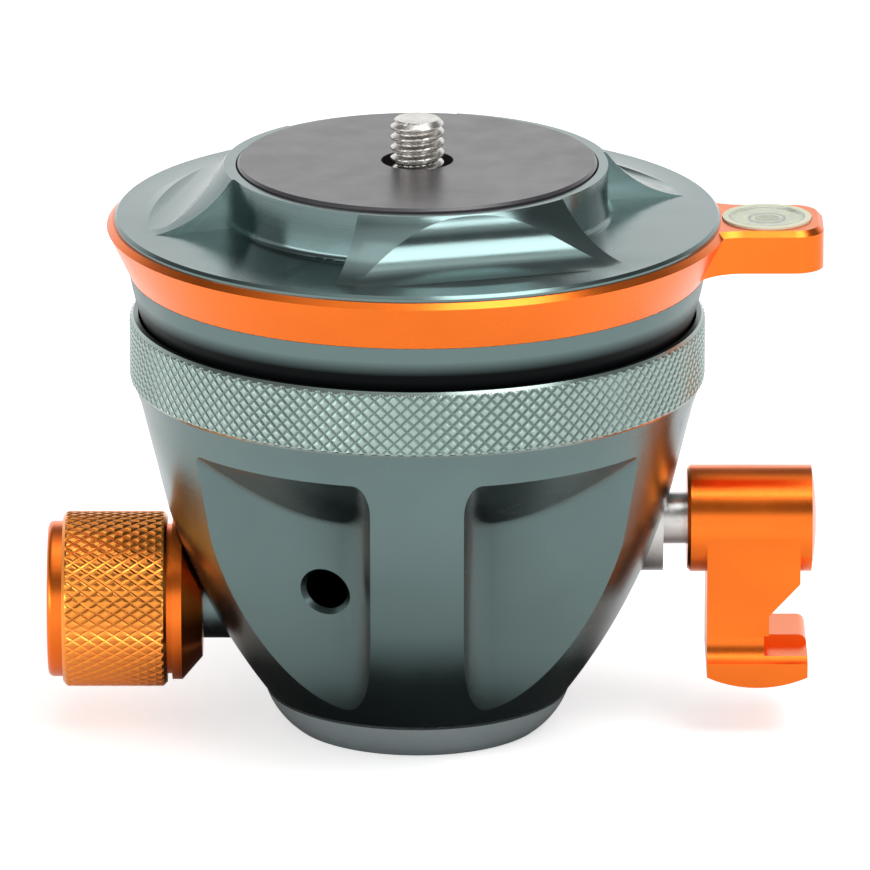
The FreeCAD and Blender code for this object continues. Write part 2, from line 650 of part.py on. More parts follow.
def make_housing():
    blank = turned("housing_blank", [
        ("spindle_radius + run_gap", "housing_low"),
        ("base_radius + slide_gap", "housing_low"),
        ("waist_radius", "waist_height"),
        ("shoulder_radius", "shoulder_height"),
        ("collar_flare", "collar_bottom"),
        ("spigot_radius", "collar_bottom"),
        ("spigot_radius", "collar_bottom + spigot_height"),
        ("well_radius", "collar_bottom + spigot_height"),
        ("well_radius", "floor_top"),
        ("spindle_radius + run_gap", "floor_top"),
    ], {1: ("flank_radius", -1)})
    front_left = recess_cutter()
    front_right = mirrored("recess_front_right", front_left, ALONG_X)
    back_left = mirrored("recess_back_left", front_left, FreeCAD.Vector(0, 1, 0))
    back_right = mirrored("recess_back_right", front_right, FreeCAD.Vector(0, 1, 0))
    way = port_direction()
    port = port_point()
    bore = cylinder("port_bore", "port_radius", "port_depth", port, way * -1)
    mouth = cone("port_mouth", "port_sink + port_sink - port_radius", "port_radius",
                 "2*port_sink - 2*port_radius", port, way * -1)
    place(mouth, tuple("%s + %.9f*(port_sink - port_radius)" % (text, value)
                       for text, value in zip(port, way)), turn_to(way * -1))
    seat = common("seat_room", sphere("seat_ball", "ball_radius + ball_gap + seat_wall + seat_gap"),
                  cylinder("seat_band", FAR, "seat_high - seat_low + 2*seat_gap",
                           ("0", "0", "seat_low - seat_gap")))
    keep(cut(
        "housing_cut", blank,
        sphere("cup_ball", "ball_radius + ball_gap"), seat,
        front_left, front_right, back_left, back_right, bore, mouth,
        cylinder("bush_way", "bush_radius + seat_gap", FAR, ("journal_end", "0", "lever_height"), ALONG_X),
        cylinder("journal_way", "journal_radius + run_gap", "journal_end", ON_LEVER, ALONG_X),
        cylinder("tail_way", "tail_radius + run_gap", "tail_end + slide_gap", ON_LEVER, ALONG_MINUS_X),
        cylinder("collet_way", "collet_radius + seat_gap", FAR,
                 ("-collet_start", "0", "knob_height"), ALONG_MINUS_X),
        cylinder("pin_way", "pin_radius + run_gap", "collet_start", ON_KNOB, ALONG_MINUS_X),
        cylinder("nose_way", "knob_nose + body_gap", FAR,
                 ("-knob_start + body_gap", "0", "knob_height"), ALONG_MINUS_X),
        cone("knob_cone_way", "knob_nose + body_gap", "knob_shoulder + body_gap",
             "knob_shoulder_end - knob_start", ("-knob_start + 0.5*body_gap", "0", "knob_height"),
             ALONG_MINUS_X),
        cylinder("shoulder_way", "knob_shoulder + body_gap", FAR,
                 ("-knob_shoulder_end + 0.5*body_gap", "0", "knob_height"), ALONG_MINUS_X),
    ), "housing")

    collar = turned("collar_blank", [
        ("well_radius", "collar_bottom + spigot_height + seat_gap"),
        ("spigot_radius + seat_gap", "collar_bottom + spigot_height + seat_gap"),
        ("spigot_radius + seat_gap", "collar_bottom"),
        ("collar_radius - collar_edge", "collar_bottom"),
        ("collar_radius", "collar_bottom + collar_edge"),
        ("collar_radius", "collar_top - collar_edge"),
        ("collar_radius - collar_edge", "collar_top"),
        ("well_radius", "collar_top"),
    ])
    keep(cut("collar_cut", collar, sphere("collar_ball", "ball_radius + ball_gap")), "grip_collar")

    ring = cut("seat_shell", sphere("seat_outside", "ball_radius + ball_gap + seat_wall"),
               sphere("seat_inside", "ball_radius + ball_gap"))
    keep(common("seat_ring", ring, cylinder("seat_slice", FAR, "seat_high - seat_low",
                                            ("0", "0", "seat_low"))), "ball_seat_ring")

    keep(cut("bush", cylinder("bush_blank", "bush_radius", "bush_end - journal_end - seat_gap",
                              ("journal_end + seat_gap", "0", "lever_height"), ALONG_X),
             cylinder("bush_bore", "lever_shaft_radius + run_gap", FAR, ON_LEVER, ALONG_X)), "lever_bush")
    keep(cut("collet", cylinder("collet_blank", "collet_radius", "collet_end - collet_start - seat_gap",
                                ("-collet_start - seat_gap", "0", "knob_height"), ALONG_MINUS_X),
             cylinder("collet_bore", "pin_radius + run_gap", FAR, ON_KNOB, ALONG_MINUS_X)), "pan_knob_bush")


def make_ball():
    outside = common("ball_zone", sphere("ball_outside", "ball_radius"),
                     cylinder("ball_span", FAR, "ring_bottom - ball_end",
                              ("0", "0", "ball_end")))
    neck = cylinder("ball_neck", "neck_radius", "ring_top - ring_bottom - seat_gap",
                    ("0", "0", "ring_bottom"))
    grub_ways = [cylinder("grub_way_%d" % index, "grub_radius + seat_gap", FAR,
                          ("0", "0", "grub_height"), facing(120 * index)) for index in range(3)]
    keep(cut("ball_cut_out", fuse("ball_solid", outside, neck), sphere("ball_hollow", "ball_inside"),
             cylinder("ball_way", "ball_mouth", "ball_radius", ("0", "0", "ball_end")),
             cylinder("spigot_way", "ball_inside", FAR, ("0", "0", "ring_top - link_depth - seat_gap")),
             *grub_ways), "half_ball")
    grubs = []
    for index in range(3):
        way = facing(120 * index)
        at = ("%.9f*(ball_inside + seat_gap)" % way.x, "%.9f*(ball_inside + seat_gap)" % way.y,
              "grub_height")
        grubs.append(cylinder("grub_%d" % index, "grub_radius", "neck_radius - ball_inside - 2*seat_gap",
                              at, way))
    keep(group("grub_set", grubs), "neck_grub_screws")


def rim_edges(shape):
    """Names of the tab's upper edges that show outside the ring."""
    top = number("tab_thick")
    inside = number("ring_foot - tab_bite")
    names = []
    for index, edge in enumerate(shape.Edges, 1):
        level = min(vertex.Point.z for vertex in edge.Vertexes) > 0.9 * top
        outside = min(vertex.Point.x for vertex in edge.Vertexes) > inside - 1e-6
        if level and outside:
            names.append("Edge%d" % index)
    return names


def make_level_ring():
    ring = turned("ring_blank", [
        ("neck_radius + seat_gap", "ring_bottom"),
        ("ring_foot", "ring_bottom"),
        ("ring_radius", "ring_top - ring_bevel"),
        ("ring_radius - ring_bevel", "ring_top"),
        ("neck_radius + seat_gap", "ring_top"),
    ])
    body = new_body("tab_blank")
    plan = outline(body, "tab_outline", "XY_Plane", [
        ("neck_radius", "-0.5*tab_width - tab_root + tab_swing"),
        ("ring_foot - tab_bite", "-0.5*tab_width - tab_root + tab_swing"),
        ("ring_foot + tab_start", "-0.5*tab_width"),
        ("tab_reach - tab_corner", "-0.5*tab_width"),
        ("tab_reach", "-0.5*tab_width + tab_corner"),
        ("tab_reach", "0.5*tab_width - tab_corner"),
        ("tab_reach - tab_corner", "0.5*tab_width"),
        ("ring_foot + tab_start", "0.5*tab_width"),
        ("ring_foot - tab_bite", "0.5*tab_width + tab_root - tab_swing"),
        ("neck_radius", "0.5*tab_width + tab_root - tab_swing"),
    ], {1: ("tab_root", 1), 3: ("tab_corner", -1), 5: ("tab_corner", -1), 7: ("tab_root", 1)})
    pad = body.newObject("PartDesign::Pad", "tab_pad")
    pad.Profile = plan
    bind(pad, "Length", "tab_thick")
    doc.recompute()
    bevel = body.newObject("PartDesign::Chamfer", "tab_bevel")
    bevel.Base = (pad, rim_edges(pad.Shape))
    bind(bevel, "Size", "ring_bevel")
    body.Tip = bevel
    place(body, ("0", "0", "ring_top - tab_thick"))
    tab = cut("tab_trim", body, cylinder("tab_clear", "neck_radius + seat_gap", FAR))
    vial_room = cylinder("vial_room", "vial_radius + seat_gap", FAR,
                         ("vial_x", "0", "vial_low - seat_gap"))
    keep(cut("ring_cut", fuse("ring_and_tab", ring, tab), vial_room), "level_ring")


def make_vial():
    at_vial = ("vial_x", "0", "vial_low")
    keep(cut("vial_cup_cut", cylinder("vial_cup_blank", "vial_radius", "vial_depth", at_vial),
             cylinder("vial_cup_room", "vial_bore", FAR, ("vial_x", "0", "vial_low + vial_floor"))),
         "vial_cup")
    depth = "vial_depth - vial_floor - lens_thick - 2*seat_gap"
    liquid = cylinder("vial_fill", "vial_bore - seat_gap", depth,
                      ("vial_x", "0", "vial_low + vial_floor + seat_gap"))
    bubble_at = ("vial_x", "0", "ring_top + vial_rise - lens_thick")
    keep(cut("vial_liquid_cut", liquid, sphere("bubble_room", "bubble_radius", bubble_at)), "vial_liquid")
    keep(cylinder("vial_lens_disc", "vial_bore - seat_gap", "lens_thick",
                  ("vial_x", "0", "ring_top + vial_rise - lens_thick")), "vial_lens")


def make_top_plate():
    plate = turned("plate_blank", [
        ("stud_shank + seat_gap", "ring_top"),
        ("ball_inside - link_wall", "ring_top"),
        ("ball_inside - link_wall", "ring_top - link_depth"),
        ("ball_inside - 2*seat_gap", "ring_top - link_depth"),
        ("ball_inside - 2*seat_gap", "ring_top"),
        ("flange_radius", "ring_top"),
        ("flange_radius", "flange_top - flange_bevel"),
        ("flange_radius - flange_bevel", "flange_top"),
        ("skirt_radius", "flange_top"),
        ("plate_radius", "plate_top - plate_bevel"),
        ("plate_radius - plate_bevel", "plate_top"),
        ("pad_radius + pad_gap", "plate_top"),
        ("pad_radius + pad_gap", "pad_low"),
        ("stud_shank + seat_gap", "pad_low"),
    ], {8: ("skirt_curve", 1)})
    tools = []
    for index in range(3):
        pocket = new_body("pocket_%d" % index)
        sketch = outline(pocket, "pocket_outline_%d" % index, "XZ_Plane", [
            ("pocket_wall", "flange_top + pocket_edge"),
            ("pocket_wall + pocket_edge", "flange_top"),
            ("2*flange_radius", "flange_top"),
            ("2*flange_radius", "2*plate_top"),
            ("pocket_wall", "2*plate_top"),
        ], {0: ("pocket_edge", -1)})
        sweep = pocket.newObject("PartDesign::Revolution", "pocket_turn_%d" % index)
        sweep.Profile = sketch
        sweep.ReferenceAxis = (sketch, ["V_Axis"])
        sweep.Midplane = True
        bind(sweep, "Angle", "pocket_angle")
        pocket.Tip = sweep
        pocket.Placement = FreeCAD.Placement(FreeCAD.Vector(), FreeCAD.Rotation(UP, 0))
        bind(pocket, "Placement.Rotation.Angle", "pocket_azimuth - 90 + %d" % (120 * index))
        tools.append(pocket)
    for index in range(3):
        azimuth = number("flute_azimuth") + 120 * index
        out = facing(azimuth)
        along = FreeCAD.Vector(-out.y, out.x, 0)
        reach = "(flute_wall + flute_radius)"
        at = ("%.9f*%s - %.9f*100" % (out.x, reach, along.x),
              "%.9f*%s - %.9f*100" % (out.y, reach, along.y),
              "flange_top + flute_lift + flute_radius")
        tools.append(cylinder("flute_%d" % index, "flute_radius", FAR, at, along))
    keep(cut("plate_cut", plate, *tools), "top_plate")

    keep(turned("pad", [
        ("pad_hole", "pad_low"),
        ("pad_radius", "pad_low"),
        ("pad_radius", "pad_top - pad_bevel"),
        ("pad_radius - pad_bevel", "pad_top"),
        ("pad_hole", "pad_top"),
    ]), "top_pad")
    keep(turned("stud", [
        ("0", "ring_top - stud_head_thick"),
        ("stud_head", "ring_top - stud_head_thick"),
        ("stud_head", "ring_top"),
        ("stud_shank", "ring_top"),
        ("stud_shank", "pad_low - seat_gap"),
        ("stud_neck", "pad_low - seat_gap"),
        ("stud_neck", "pad_top"),
        ("stud_radius", "pad_top"),
        ("stud_radius", "stud_top - stud_tip"),
        ("stud_radius - stud_tip", "stud_top"),
        ("0", "stud_top"),
    ]), "camera_stud")


def make_clamp():
    """Friction washer, clamp dish, springs, nut and draw rod inside the half ball."""
    shell = cut("washer_shell", sphere("washer_outside", "ball_inside - ball_gap"),
                sphere("washer_inside", "ball_inside - ball_gap - washer_wall"))
    outer = "(ball_inside - ball_gap)"
    band = cylinder("washer_band", FAR, outer + "*(cos(washer_low) - cos(washer_high))",
                    ("0", "0", "ball_height - " + outer + "*cos(washer_low)"))
    keep(common("washer_zone", shell, band), "friction_washer")

    cap = common("dish_cap", sphere("dish_ball", "dish_radius"),
                 cylinder("dish_slab", FAR, "dish_top", ("0", "0", "0")))
    keep(cut("dish_cut", cap, cylinder("dish_hole", "rod_radius + seat_gap", FAR)), "clamp_dish")

    springs = []
    for index in range(2):
        low = "dish_top + seat_gap + %d*(spring_thick + spring_rise + seat_gap)" % index
        outside = cone("spring_out_%d" % index, "spring_radius", "rod_radius + spring_thick",
                       "spring_thick + spring_rise", ("0", "0", low))
        inside = cone("spring_in_%d" % index, "spring_radius - spring_thick", "rod_radius + seat_gap",
                      "spring_rise", ("0", "0", low))
        way = cylinder("spring_way_%d" % index, "rod_radius + seat_gap", FAR)
        springs.append(cut("spring_%d" % index, outside, inside, way))
    keep(group("spring_set", springs), "disc_springs")

    nut_low = "dish_top + 2*spring_thick + 2*spring_rise + 4*seat_gap"
    prism = doc.addObject("Part::Prism", "nut_prism")
    prism.Polygon = 6
    bind(prism, "Circumradius", "nut_width/sqrt(3)")
    bind(prism, "Height", "nut_height")
    place(prism, ("0", "0", nut_low))
    keep(cut("nut_cut", prism, cylinder("nut_hole", "rod_radius + seat_gap", FAR)), "clamp_nut")

    block = box("eye_block", ("eye_length", "eye_width", "eye_high - eye_low"),
                ("-0.5*eye_length", "-0.5*eye_width", "eye_low"))
    eye_solid = common("eye_rounded", block, cylinder("eye_turning", "eye_turned", FAR))
    rod = cylinder("rod_shank", "rod_radius", "rod_top - eye_high + rod_overlap",
                   ("0", "0", "eye_high - rod_overlap"))
    half_slot = "(cam_throw + cam_room)"
    radius = "(cam_radius + cam_room)"
    start = "-0.5*journal_end"
    middle = box("eye_slot_middle", ("journal_end", "2*" + half_slot, "2*" + radius),
                 (start, "-" + half_slot, "lever_height - cam_throw - " + radius))
    solid = cut("rod_slotted", fuse("rod_solid", eye_solid, rod), middle)
    for index, sign in enumerate(("-1", "1")):
        end_at = (start, sign + "*" + half_slot, "lever_height - cam_throw")
        solid = cut("rod_cut_%d" % index, solid,
                    cylinder("eye_slot_%d" % index, radius, "journal_end", end_at, ALONG_X))
    keep(solid, "draw_rod")


def arm_prism(name, back, depth, corners, bends):
    """Prism with its outline seen from the front, from its back face towards -Y."""
    body = new_body(name + "_body")
    front = outline(body, name + "_outline", "XZ_Plane", corners, bends)
    pad = body.newObject("PartDesign::Pad", name + "_pad")
    pad.Profile = front
    bind(pad, "Length", depth)
    body.Tip = pad
    return place(body, ("0", back, "0"))


def make_lever():
    """Cam shaft and lever, which turn together about the X axis at the lever's height."""
    cam_at = ("-0.5*cam_length", "0", "lever_height - cam_throw")
    keep(fuse(
        "lever_shaft_solid",
        cylinder("shaft_tail", "tail_radius", "tail_end - 0.5*cam_length",
                 ("-tail_end", "0", "lever_height"), ALONG_X),
        cylinder("shaft_cam", "cam_radius", "cam_length", cam_at, ALONG_X),
        cylinder("shaft_journal", "journal_radius", "journal_end - 0.5*cam_length - slide_gap",
                 ("0.5*cam_length", "0", "lever_height"), ALONG_X),
        cylinder("shaft_stem", "lever_shaft_radius", "hub_start + hub_bore - 0.5*cam_length",
                 ("0.5*cam_length", "0", "lever_height"), ALONG_X),
    ), "lever_shaft")

    hub = turned("hub_blank", [
        ("hub_start", "0"),
        ("hub_start", "hub_radius - hub_edge"),
        ("hub_start + hub_edge", "hub_radius"),
        ("hub_end + 2*hub_crown", "hub_radius"),
        ("hub_end + 2*hub_crown", "0"),
    ], axis="H_Axis")
    place(hub, ON_LEVER)
    dome = sphere("hub_ball", "hub_dome", ("hub_end + hub_crown - hub_dome", "0", "lever_height"))
    hub = common("hub_domed", hub, dome)

    arm = arm_prism("arm", "arm_half", "2*arm_half", [
        ("arm_inner", "lever_height"),
        ("arm_inner", "arm_foot"),
        ("arm_toe", "arm_foot"),
        ("arm_toe", "toe_ledge - toe_round"),
        ("arm_toe - toe_round", "toe_ledge"),
        ("arm_neck", "toe_ledge"),
        ("arm_neck", "arm_neck_height"),
        ("arm_outer", "lever_height - hub_radius"),
        ("arm_outer", "lever_height"),
    ], {1: ("arm_crown", -1), 3: ("toe_round", -1)})
    lip = arm_prism("lip", "0", "toe_front", [
        ("arm_inner", "toe_lip + toe_sweep"),
        ("arm_inner", "arm_foot"),
        ("arm_toe", "arm_foot"),
        ("arm_toe", "toe_lip + toe_sweep"),
    ], {1: ("arm_crown", -1)})
    toe_body = new_body("toe_body")
    section = outline(toe_body, "toe_outline", "YZ_Plane", [
        ("-0.9*arm_half", "toe_lip + toe_sweep"),
        ("-arm_half", "toe_lip + toe_sweep"),
        ("-toe_front", "toe_lip"),
        ("-toe_front", "0"),
        ("-0.9*arm_half", "0"),
    ], {1: ("toe_hollow", 1)})
    toe_pad = toe_body.newObject("PartDesign::Pad", "toe_pad")
    toe_pad.Profile = section
    bind(toe_pad, "Length", "arm_toe - arm_inner")
    toe_body.Tip = toe_pad
    place(toe_body, ("arm_inner", "0", "0"))
    toe = common("toe_trim", toe_body, lip)
    reach = "arm_toe - arm_neck + 2*toe_bite"
    notch = box("toe_notch", (reach, "toe_front", "toe_round + toe_clear"),
                ("arm_neck - toe_bite", "-toe_step - toe_front", "toe_ledge - toe_round"))
    blank = cut("lever_notched", fuse("lever_solid", hub, arm, toe), notch)

    grub_at = ("hub_start + hub_grub_offset", "0", "lever_height")
    back = FreeCAD.Vector(0, 1, 0)
    keep(cut("lever_cut", blank,
             cylinder("lever_bore", "lever_shaft_radius + seat_gap", "hub_bore + hub_start + seat_gap",
                      ON_LEVER, ALONG_X),
             cylinder("lever_grub_way", "grub_radius + seat_gap", FAR, grub_at, back)), "tilt_lever")
    grub_start = ("hub_start + hub_grub_offset", "lever_shaft_radius + seat_gap", "lever_height")
    keep(cylinder("lever_grub", "grub_radius", "hub_radius - lever_shaft_radius - 6*seat_gap",
                  grub_start, back), "lever_grub_screw")


def make_knob():
    """Pan knob, its screw and the brake pin, about the X axis at the knob's height."""
    knob = turned("knob_blank", [
        ("-knob_end", "0"),
        ("-knob_end", "knob_land - knob_round"),
        ("-knob_end + knob_round", "knob_land"),
        ("-grip_outer", "knob_land"),
        ("-grip_outer", "grip_radius - grip_edge"),
        ("-grip_outer + grip_edge", "grip_radius"),
        ("-grip_inner - grip_edge", "grip_radius"),
        ("-grip_inner", "grip_radius - grip_edge"),
        ("-grip_inner", "knob_groove"),
        ("-grip_inner + knob_groove_width", "knob_groove"),
        ("-grip_inner + knob_groove_width", "knob_shoulder"),
        ("-knob_shoulder_end", "knob_shoulder"),
        ("-knob_start", "knob_nose"),
        ("-knob_start", "0"),
    ], {1: ("knob_round", 1)}, axis="H_Axis")
    place(knob, ON_KNOB)
    down = FreeCAD.Vector(0, 0, -1)
    grub_at = ("-knob_start - knob_grub_offset", "0", "knob_height")
    keep(cut("knob_cut", knob,
             cylinder("knob_bore_way", "screw_radius + seat_gap", "knob_bore + seat_gap",
                      ("-knob_start", "0", "knob_height"), ALONG_MINUS_X),
             cylinder("knob_grub_way", "grub_radius + seat_gap", FAR, grub_at, down)), "pan_knob")
    keep(cylinder("screw_rod", "screw_radius", "knob_start + knob_bore - pin_end - seat_gap",
                  ("-pin_end - seat_gap", "0", "knob_height"), ALONG_MINUS_X), "pan_screw")
    grub_start = ("-knob_start - knob_grub_offset", "0", "knob_height - screw_radius - seat_gap")
    keep(cylinder("knob_grub", "grub_radius", "0.5*knob_nose", grub_start, down), "knob_grub_screw")

    tip_start = ("-brake_groove - pin_gap", "0", "knob_height")
    keep(fuse("pin_solid",
              cylinder("pin_nose", "pin_tip", "pin_end - brake_groove - pin_gap", tip_start, ALONG_MINUS_X),
              cylinder("pin_body", "pin_radius", "pin_end - pin_shoulder",
                       ("-pin_shoulder", "0", "knob_height"), ALONG_MINUS_X)), "brake_pin")


def check(thing):
    """Stop if a finished piece failed or is not a sound solid."""
    shape = thing.Shape
    if shape.isNull() or not shape.isValid() or not shape.Solids:
        raise RuntimeError("%s has no sound shape" % thing.Label)
    for solid in shape.Solids:
        if solid.Volume <= 0:
            raise RuntimeError("%s has a solid without volume" % thing.Label)


make_base()
make_housing()
make_ball()
make_level_ring()
make_vial()
make_top_plate()
make_clamp()
make_lever()
make_knob()
doc.recompute()
for item in doc.Objects:
    if "Invalid" in item.State or "Error" in item.State:
        raise RuntimeError("%s did not build" % item.Name)
for part in parts:
    check(part)

os.makedirs("parts", exist_ok=True)
for part in parts:
    part.Shape.exportStep(os.path.join("parts", part.Label + ".step"))
    print("%-22s solids %d volume %.1f" % (part.Label, len(part.Shape.Solids), part.Shape.Volume))
print("%d pieces" % len(parts))
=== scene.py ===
import json
import math

import bpy
from bpy.props import FloatProperty, FloatVectorProperty, IntProperty, PointerProperty
from mathutils import Matrix, Vector


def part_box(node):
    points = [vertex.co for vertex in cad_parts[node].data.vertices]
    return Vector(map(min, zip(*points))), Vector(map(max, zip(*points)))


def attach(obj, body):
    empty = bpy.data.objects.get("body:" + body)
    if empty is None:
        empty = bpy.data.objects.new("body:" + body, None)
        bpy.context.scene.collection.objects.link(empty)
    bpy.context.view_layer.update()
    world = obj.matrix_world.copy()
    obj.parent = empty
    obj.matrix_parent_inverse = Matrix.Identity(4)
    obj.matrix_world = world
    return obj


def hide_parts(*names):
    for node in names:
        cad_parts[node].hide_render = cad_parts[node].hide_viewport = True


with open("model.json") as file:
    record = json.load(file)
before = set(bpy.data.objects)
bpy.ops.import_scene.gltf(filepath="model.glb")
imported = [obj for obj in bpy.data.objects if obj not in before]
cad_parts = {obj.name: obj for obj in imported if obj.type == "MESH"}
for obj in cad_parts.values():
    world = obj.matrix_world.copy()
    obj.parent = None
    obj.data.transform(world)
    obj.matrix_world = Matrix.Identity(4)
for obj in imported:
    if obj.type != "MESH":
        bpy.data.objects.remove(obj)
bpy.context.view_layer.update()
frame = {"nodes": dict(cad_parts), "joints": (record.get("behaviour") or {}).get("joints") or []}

bl_info = {
    "name": "Leveling base",
    "version": (1, 0, 0),
    "blender": (4, 5, 0),
    "location": "3D View > Sidebar > Leveling base",
    "description": "Builds the looks of a camera leveling base around its fixed construction",
    "category": "Object",
}

MM = 0.001

# A point on each axis that pieces were turned around on the lathe, in metres.
JOINT_AT = {joint["name"]: joint["pos_m"] for joint in frame["joints"] if "pos_m" in joint}
PAN_CENTRE = (0.0, 0.0, 0.0)
LEVER_CENTRE = (0.0, 0.0, JOINT_AT["lever_turn"][2])
KNOB_CENTRE = (0.0, 0.0, JOINT_AT["knob_turn"][2])

STEPS_A_DIAMOND = 8                     # points from one knurl diamond to the next
GROOVE = (1.0, 0.45, 0.12, 0.0, 0.0)    # share of the knurl's depth at each step from a groove
CORNER_SHADE = ((0.55, 0.03), (0.75, 0.30), (0.93, 1.0))    # painted shade: openness around a point, share of its colour left
DRIFT_FROM, DRIFT_TO = 0.3, 0.7         # part of the noise that a drift of colour or gloss spans


# ---------------------------------------------------------------- settings

class FinishSettings(bpy.types.PropertyGroup):
    """Colours and surface of the metal, plastic and fluid."""

    slate: FloatVectorProperty(
        name="Slate", description="Colour of the slate anodised aluminium",
        subtype="COLOR", size=3, min=0.0, max=1.0, default=(0.137, 0.200, 0.197))
    orange: FloatVectorProperty(
        name="Orange", description="Colour of the orange anodised aluminium",
        subtype="COLOR", size=3, min=0.0, max=1.0, default=(0.92, 0.185, 0.018))
    # The foot's colour is the slate lightened: painted light for the bright floor it reflects, on a
    # satin, less metallic finish.
    foot: FloatVectorProperty(
        name="Foot", description="Colour of the satin foot",
        subtype="COLOR", size=3, min=0.0, max=1.0, default=(0.30, 0.35, 0.36))
    stainless: FloatVectorProperty(
        name="Stainless", description="Colour of the shafts, bushes and screws",
        subtype="COLOR", size=3, min=0.0, max=1.0, default=(0.62, 0.61, 0.59))
    pad: FloatVectorProperty(
        name="Pad", description="Colour of the pad under the camera",
        subtype="COLOR", size=3, min=0.0, max=1.0, default=(0.035, 0.030, 0.037))
    fluid: FloatVectorProperty(
        name="Fluid", description="Colour of the fluid in the vial",
        subtype="COLOR", size=3, min=0.0, max=1.0, default=(0.84, 0.98, 0.42))
    grain: FloatProperty(
        name="Grain", description="Size of the grain that blasting leaves under the anodising",
        unit="LENGTH", default=0.00012, min=0.00001, max=0.002)
    turning: FloatProperty(
        name="Turning marks", description="Spacing of the fine marks left by the lathe",
        unit="LENGTH", default=0.00022, min=0.00002, max=0.002)


class CollarSettings(bpy.types.PropertyGroup):
    """The knurled grip collar."""

    # The knurl's colour is the slate lightened: a painted highlight for the bright reflections of
    # its facets.
    colour: FloatVectorProperty(
        name="Knurl", description="Colour of the slate film on the knurl, where it is thinner",
        subtype="COLOR", size=3, min=0.0, max=1.0, default=(0.32, 0.42, 0.39))
    across: IntProperty(
        name="Diamonds around", description="Knurl diamonds around the collar",
        default=141, min=24, max=400)
    rows: IntProperty(
        name="Rows", description="Rows of knurl diamonds", default=5, min=1, max=40)
    depth: FloatProperty(
        name="Depth", description="Depth of the knurl's grooves",
        unit="LENGTH", default=0.00022, min=0.00001, max=0.002)


class KnobSettings(bpy.types.PropertyGroup):
    """The knurled pan knob."""

    # The knurl's colour is the orange lightened: a painted highlight for the bright reflections of
    # its facets.
    colour: FloatVectorProperty(
        name="Knurl", description="Colour of the orange film on the knurl, where it is thinner",
        subtype="COLOR", size=3, min=0.0, max=1.0, default=(0.97, 0.31, 0.040))
    across: IntProperty(
        name="Diamonds around", description="Knurl diamonds around the knob",
        default=48, min=12, max=300)
    rows: IntProperty(
        name="Rows", description="Rows of knurl diamonds along the knob",
        default=6, min=1, max=40)
    depth: FloatProperty(
        name="Depth", description="Depth of the knurl's grooves",
        unit="LENGTH", default=0.00014, min=0.00001, max=0.002)


class StudSettings(bpy.types.PropertyGroup):
    """The threaded camera stud."""

    pitch: FloatProperty(
        name="Pitch", description="Distance from one thread to the next",
        unit="LENGTH", default=0.00127, min=0.0002, max=0.005)
    depth: FloatProperty(
        name="Depth", description="Depth of the thread",
        unit="LENGTH", default=0.00062, min=0.0001, max=0.002)
    steps: IntProperty(
        name="Steps", description="Points around one turn of the thread",
        default=96, min=16, max=256)


class VialSettings(bpy.types.PropertyGroup):
    """The mark in the bubble vial."""

    radius: FloatProperty(
        name="Mark radius", description="Radius of the black ring under the lens",
        unit="LENGTH", default=0.0021, min=0.0005, max=0.004)
    width: FloatProperty(
        name="Mark width", description="Width of that ring",
        unit="LENGTH", default=0.00028, min=0.00005, max=0.001)


class StageSettings(bpy.types.PropertyGroup):
    """Floor, light and camera."""

    floor: FloatProperty(
        name="Floor", description="Width of the pale floor",
        unit="LENGTH", default=24.0, min=1.0, max=100.0)
    glow: FloatProperty(
        name="Floor glow", description="How far the floor is lifted towards white for the camera",
        default=0.55, min=0.0, max=2.0)
    # Painted light in metal: the floor glows this much for reflections, away from the foot.
    sheen: FloatProperty(
        name="Floor in metal", description="How far the floor is lifted towards white in metal",
        default=0.40, min=0.0, max=2.0)
    sky: FloatProperty(
        name="Surroundings", description="Strength of the studio's walls and panels",
        default=1.0, min=0.0, max=5.0)
    lens: FloatProperty(
        name="Lens", description="Focal length for a 36 mm wide sensor, in millimetres",
        default=483.0, min=20.0, max=1000.0)


# ---------------------------------------------------------------- node helpers

def fill(node, **values):
    """Give a node's inputs constants or other nodes' outputs.

    An input goes by its name with _ for each space, or by its number as i0, i1 and so on.
    """
    for key, value in values.items():
        numbered = key[0] == "i" and key[1:].isdigit()
        socket = node.inputs[int(key[1:]) if numbered else key.replace("_", " ")]
        if isinstance(value, bpy.types.NodeSocket):
            node.id_data.links.new(value, socket)
        else:
            socket.default_value = value


def wired(tree, kind, **values):
    """New node in a tree, with its inputs filled."""
    made = tree.nodes.new(kind)
    fill(made, **values)
    return made


def calc(tree, operation, *values):
    """A math node's output."""
    made = tree.nodes.new("ShaderNodeMath")
    made.operation = operation
    fill(made, **{f"i{index}": value for index, value in enumerate(values)})
    return made.outputs[0]


def vector_calc(tree, operation, **values):
    """A vector math node's output."""
    made = tree.nodes.new("ShaderNodeVectorMath")
    made.operation = operation
    fill(made, **values)
    return made.outputs[0]


def ramp(tree, factor, stops):
    """A colour ramp's output; stops are (position, grey or colour)."""
    made = wired(tree, "ShaderNodeValToRGB", Fac=factor)
    marks = made.color_ramp.elements
    while len(marks) < len(stops):
        marks.new(0.5)
    for mark, (position, tone) in zip(marks, stops):
        mark.position = position
        mark.color = (*tone, 1.0) if hasattr(tone, "__len__") else (tone, tone, tone, 1.0)
    return made.outputs[0]


def blank_material(name):
    """A new material, its tree and its principled node, which is wired to the output."""
    made = bpy.data.materials.new(name)
    made.use_nodes = True
    tree = made.node_tree
    tree.nodes.clear()
    surface = tree.nodes.new("ShaderNodeBsdfPrincipled")
    wired(tree, "ShaderNodeOutputMaterial", Surface=surface.outputs[0])
    return made, tree, surface


def place_of(tree, centre=(0.0, 0.0, 0.0)):
    """Position on the piece at rest, in metres from a centre."""
    where = tree.nodes.new("ShaderNodeTexCoord").outputs["Object"]
    return vector_calc(tree, "SUBTRACT", i0=where, i1=centre)


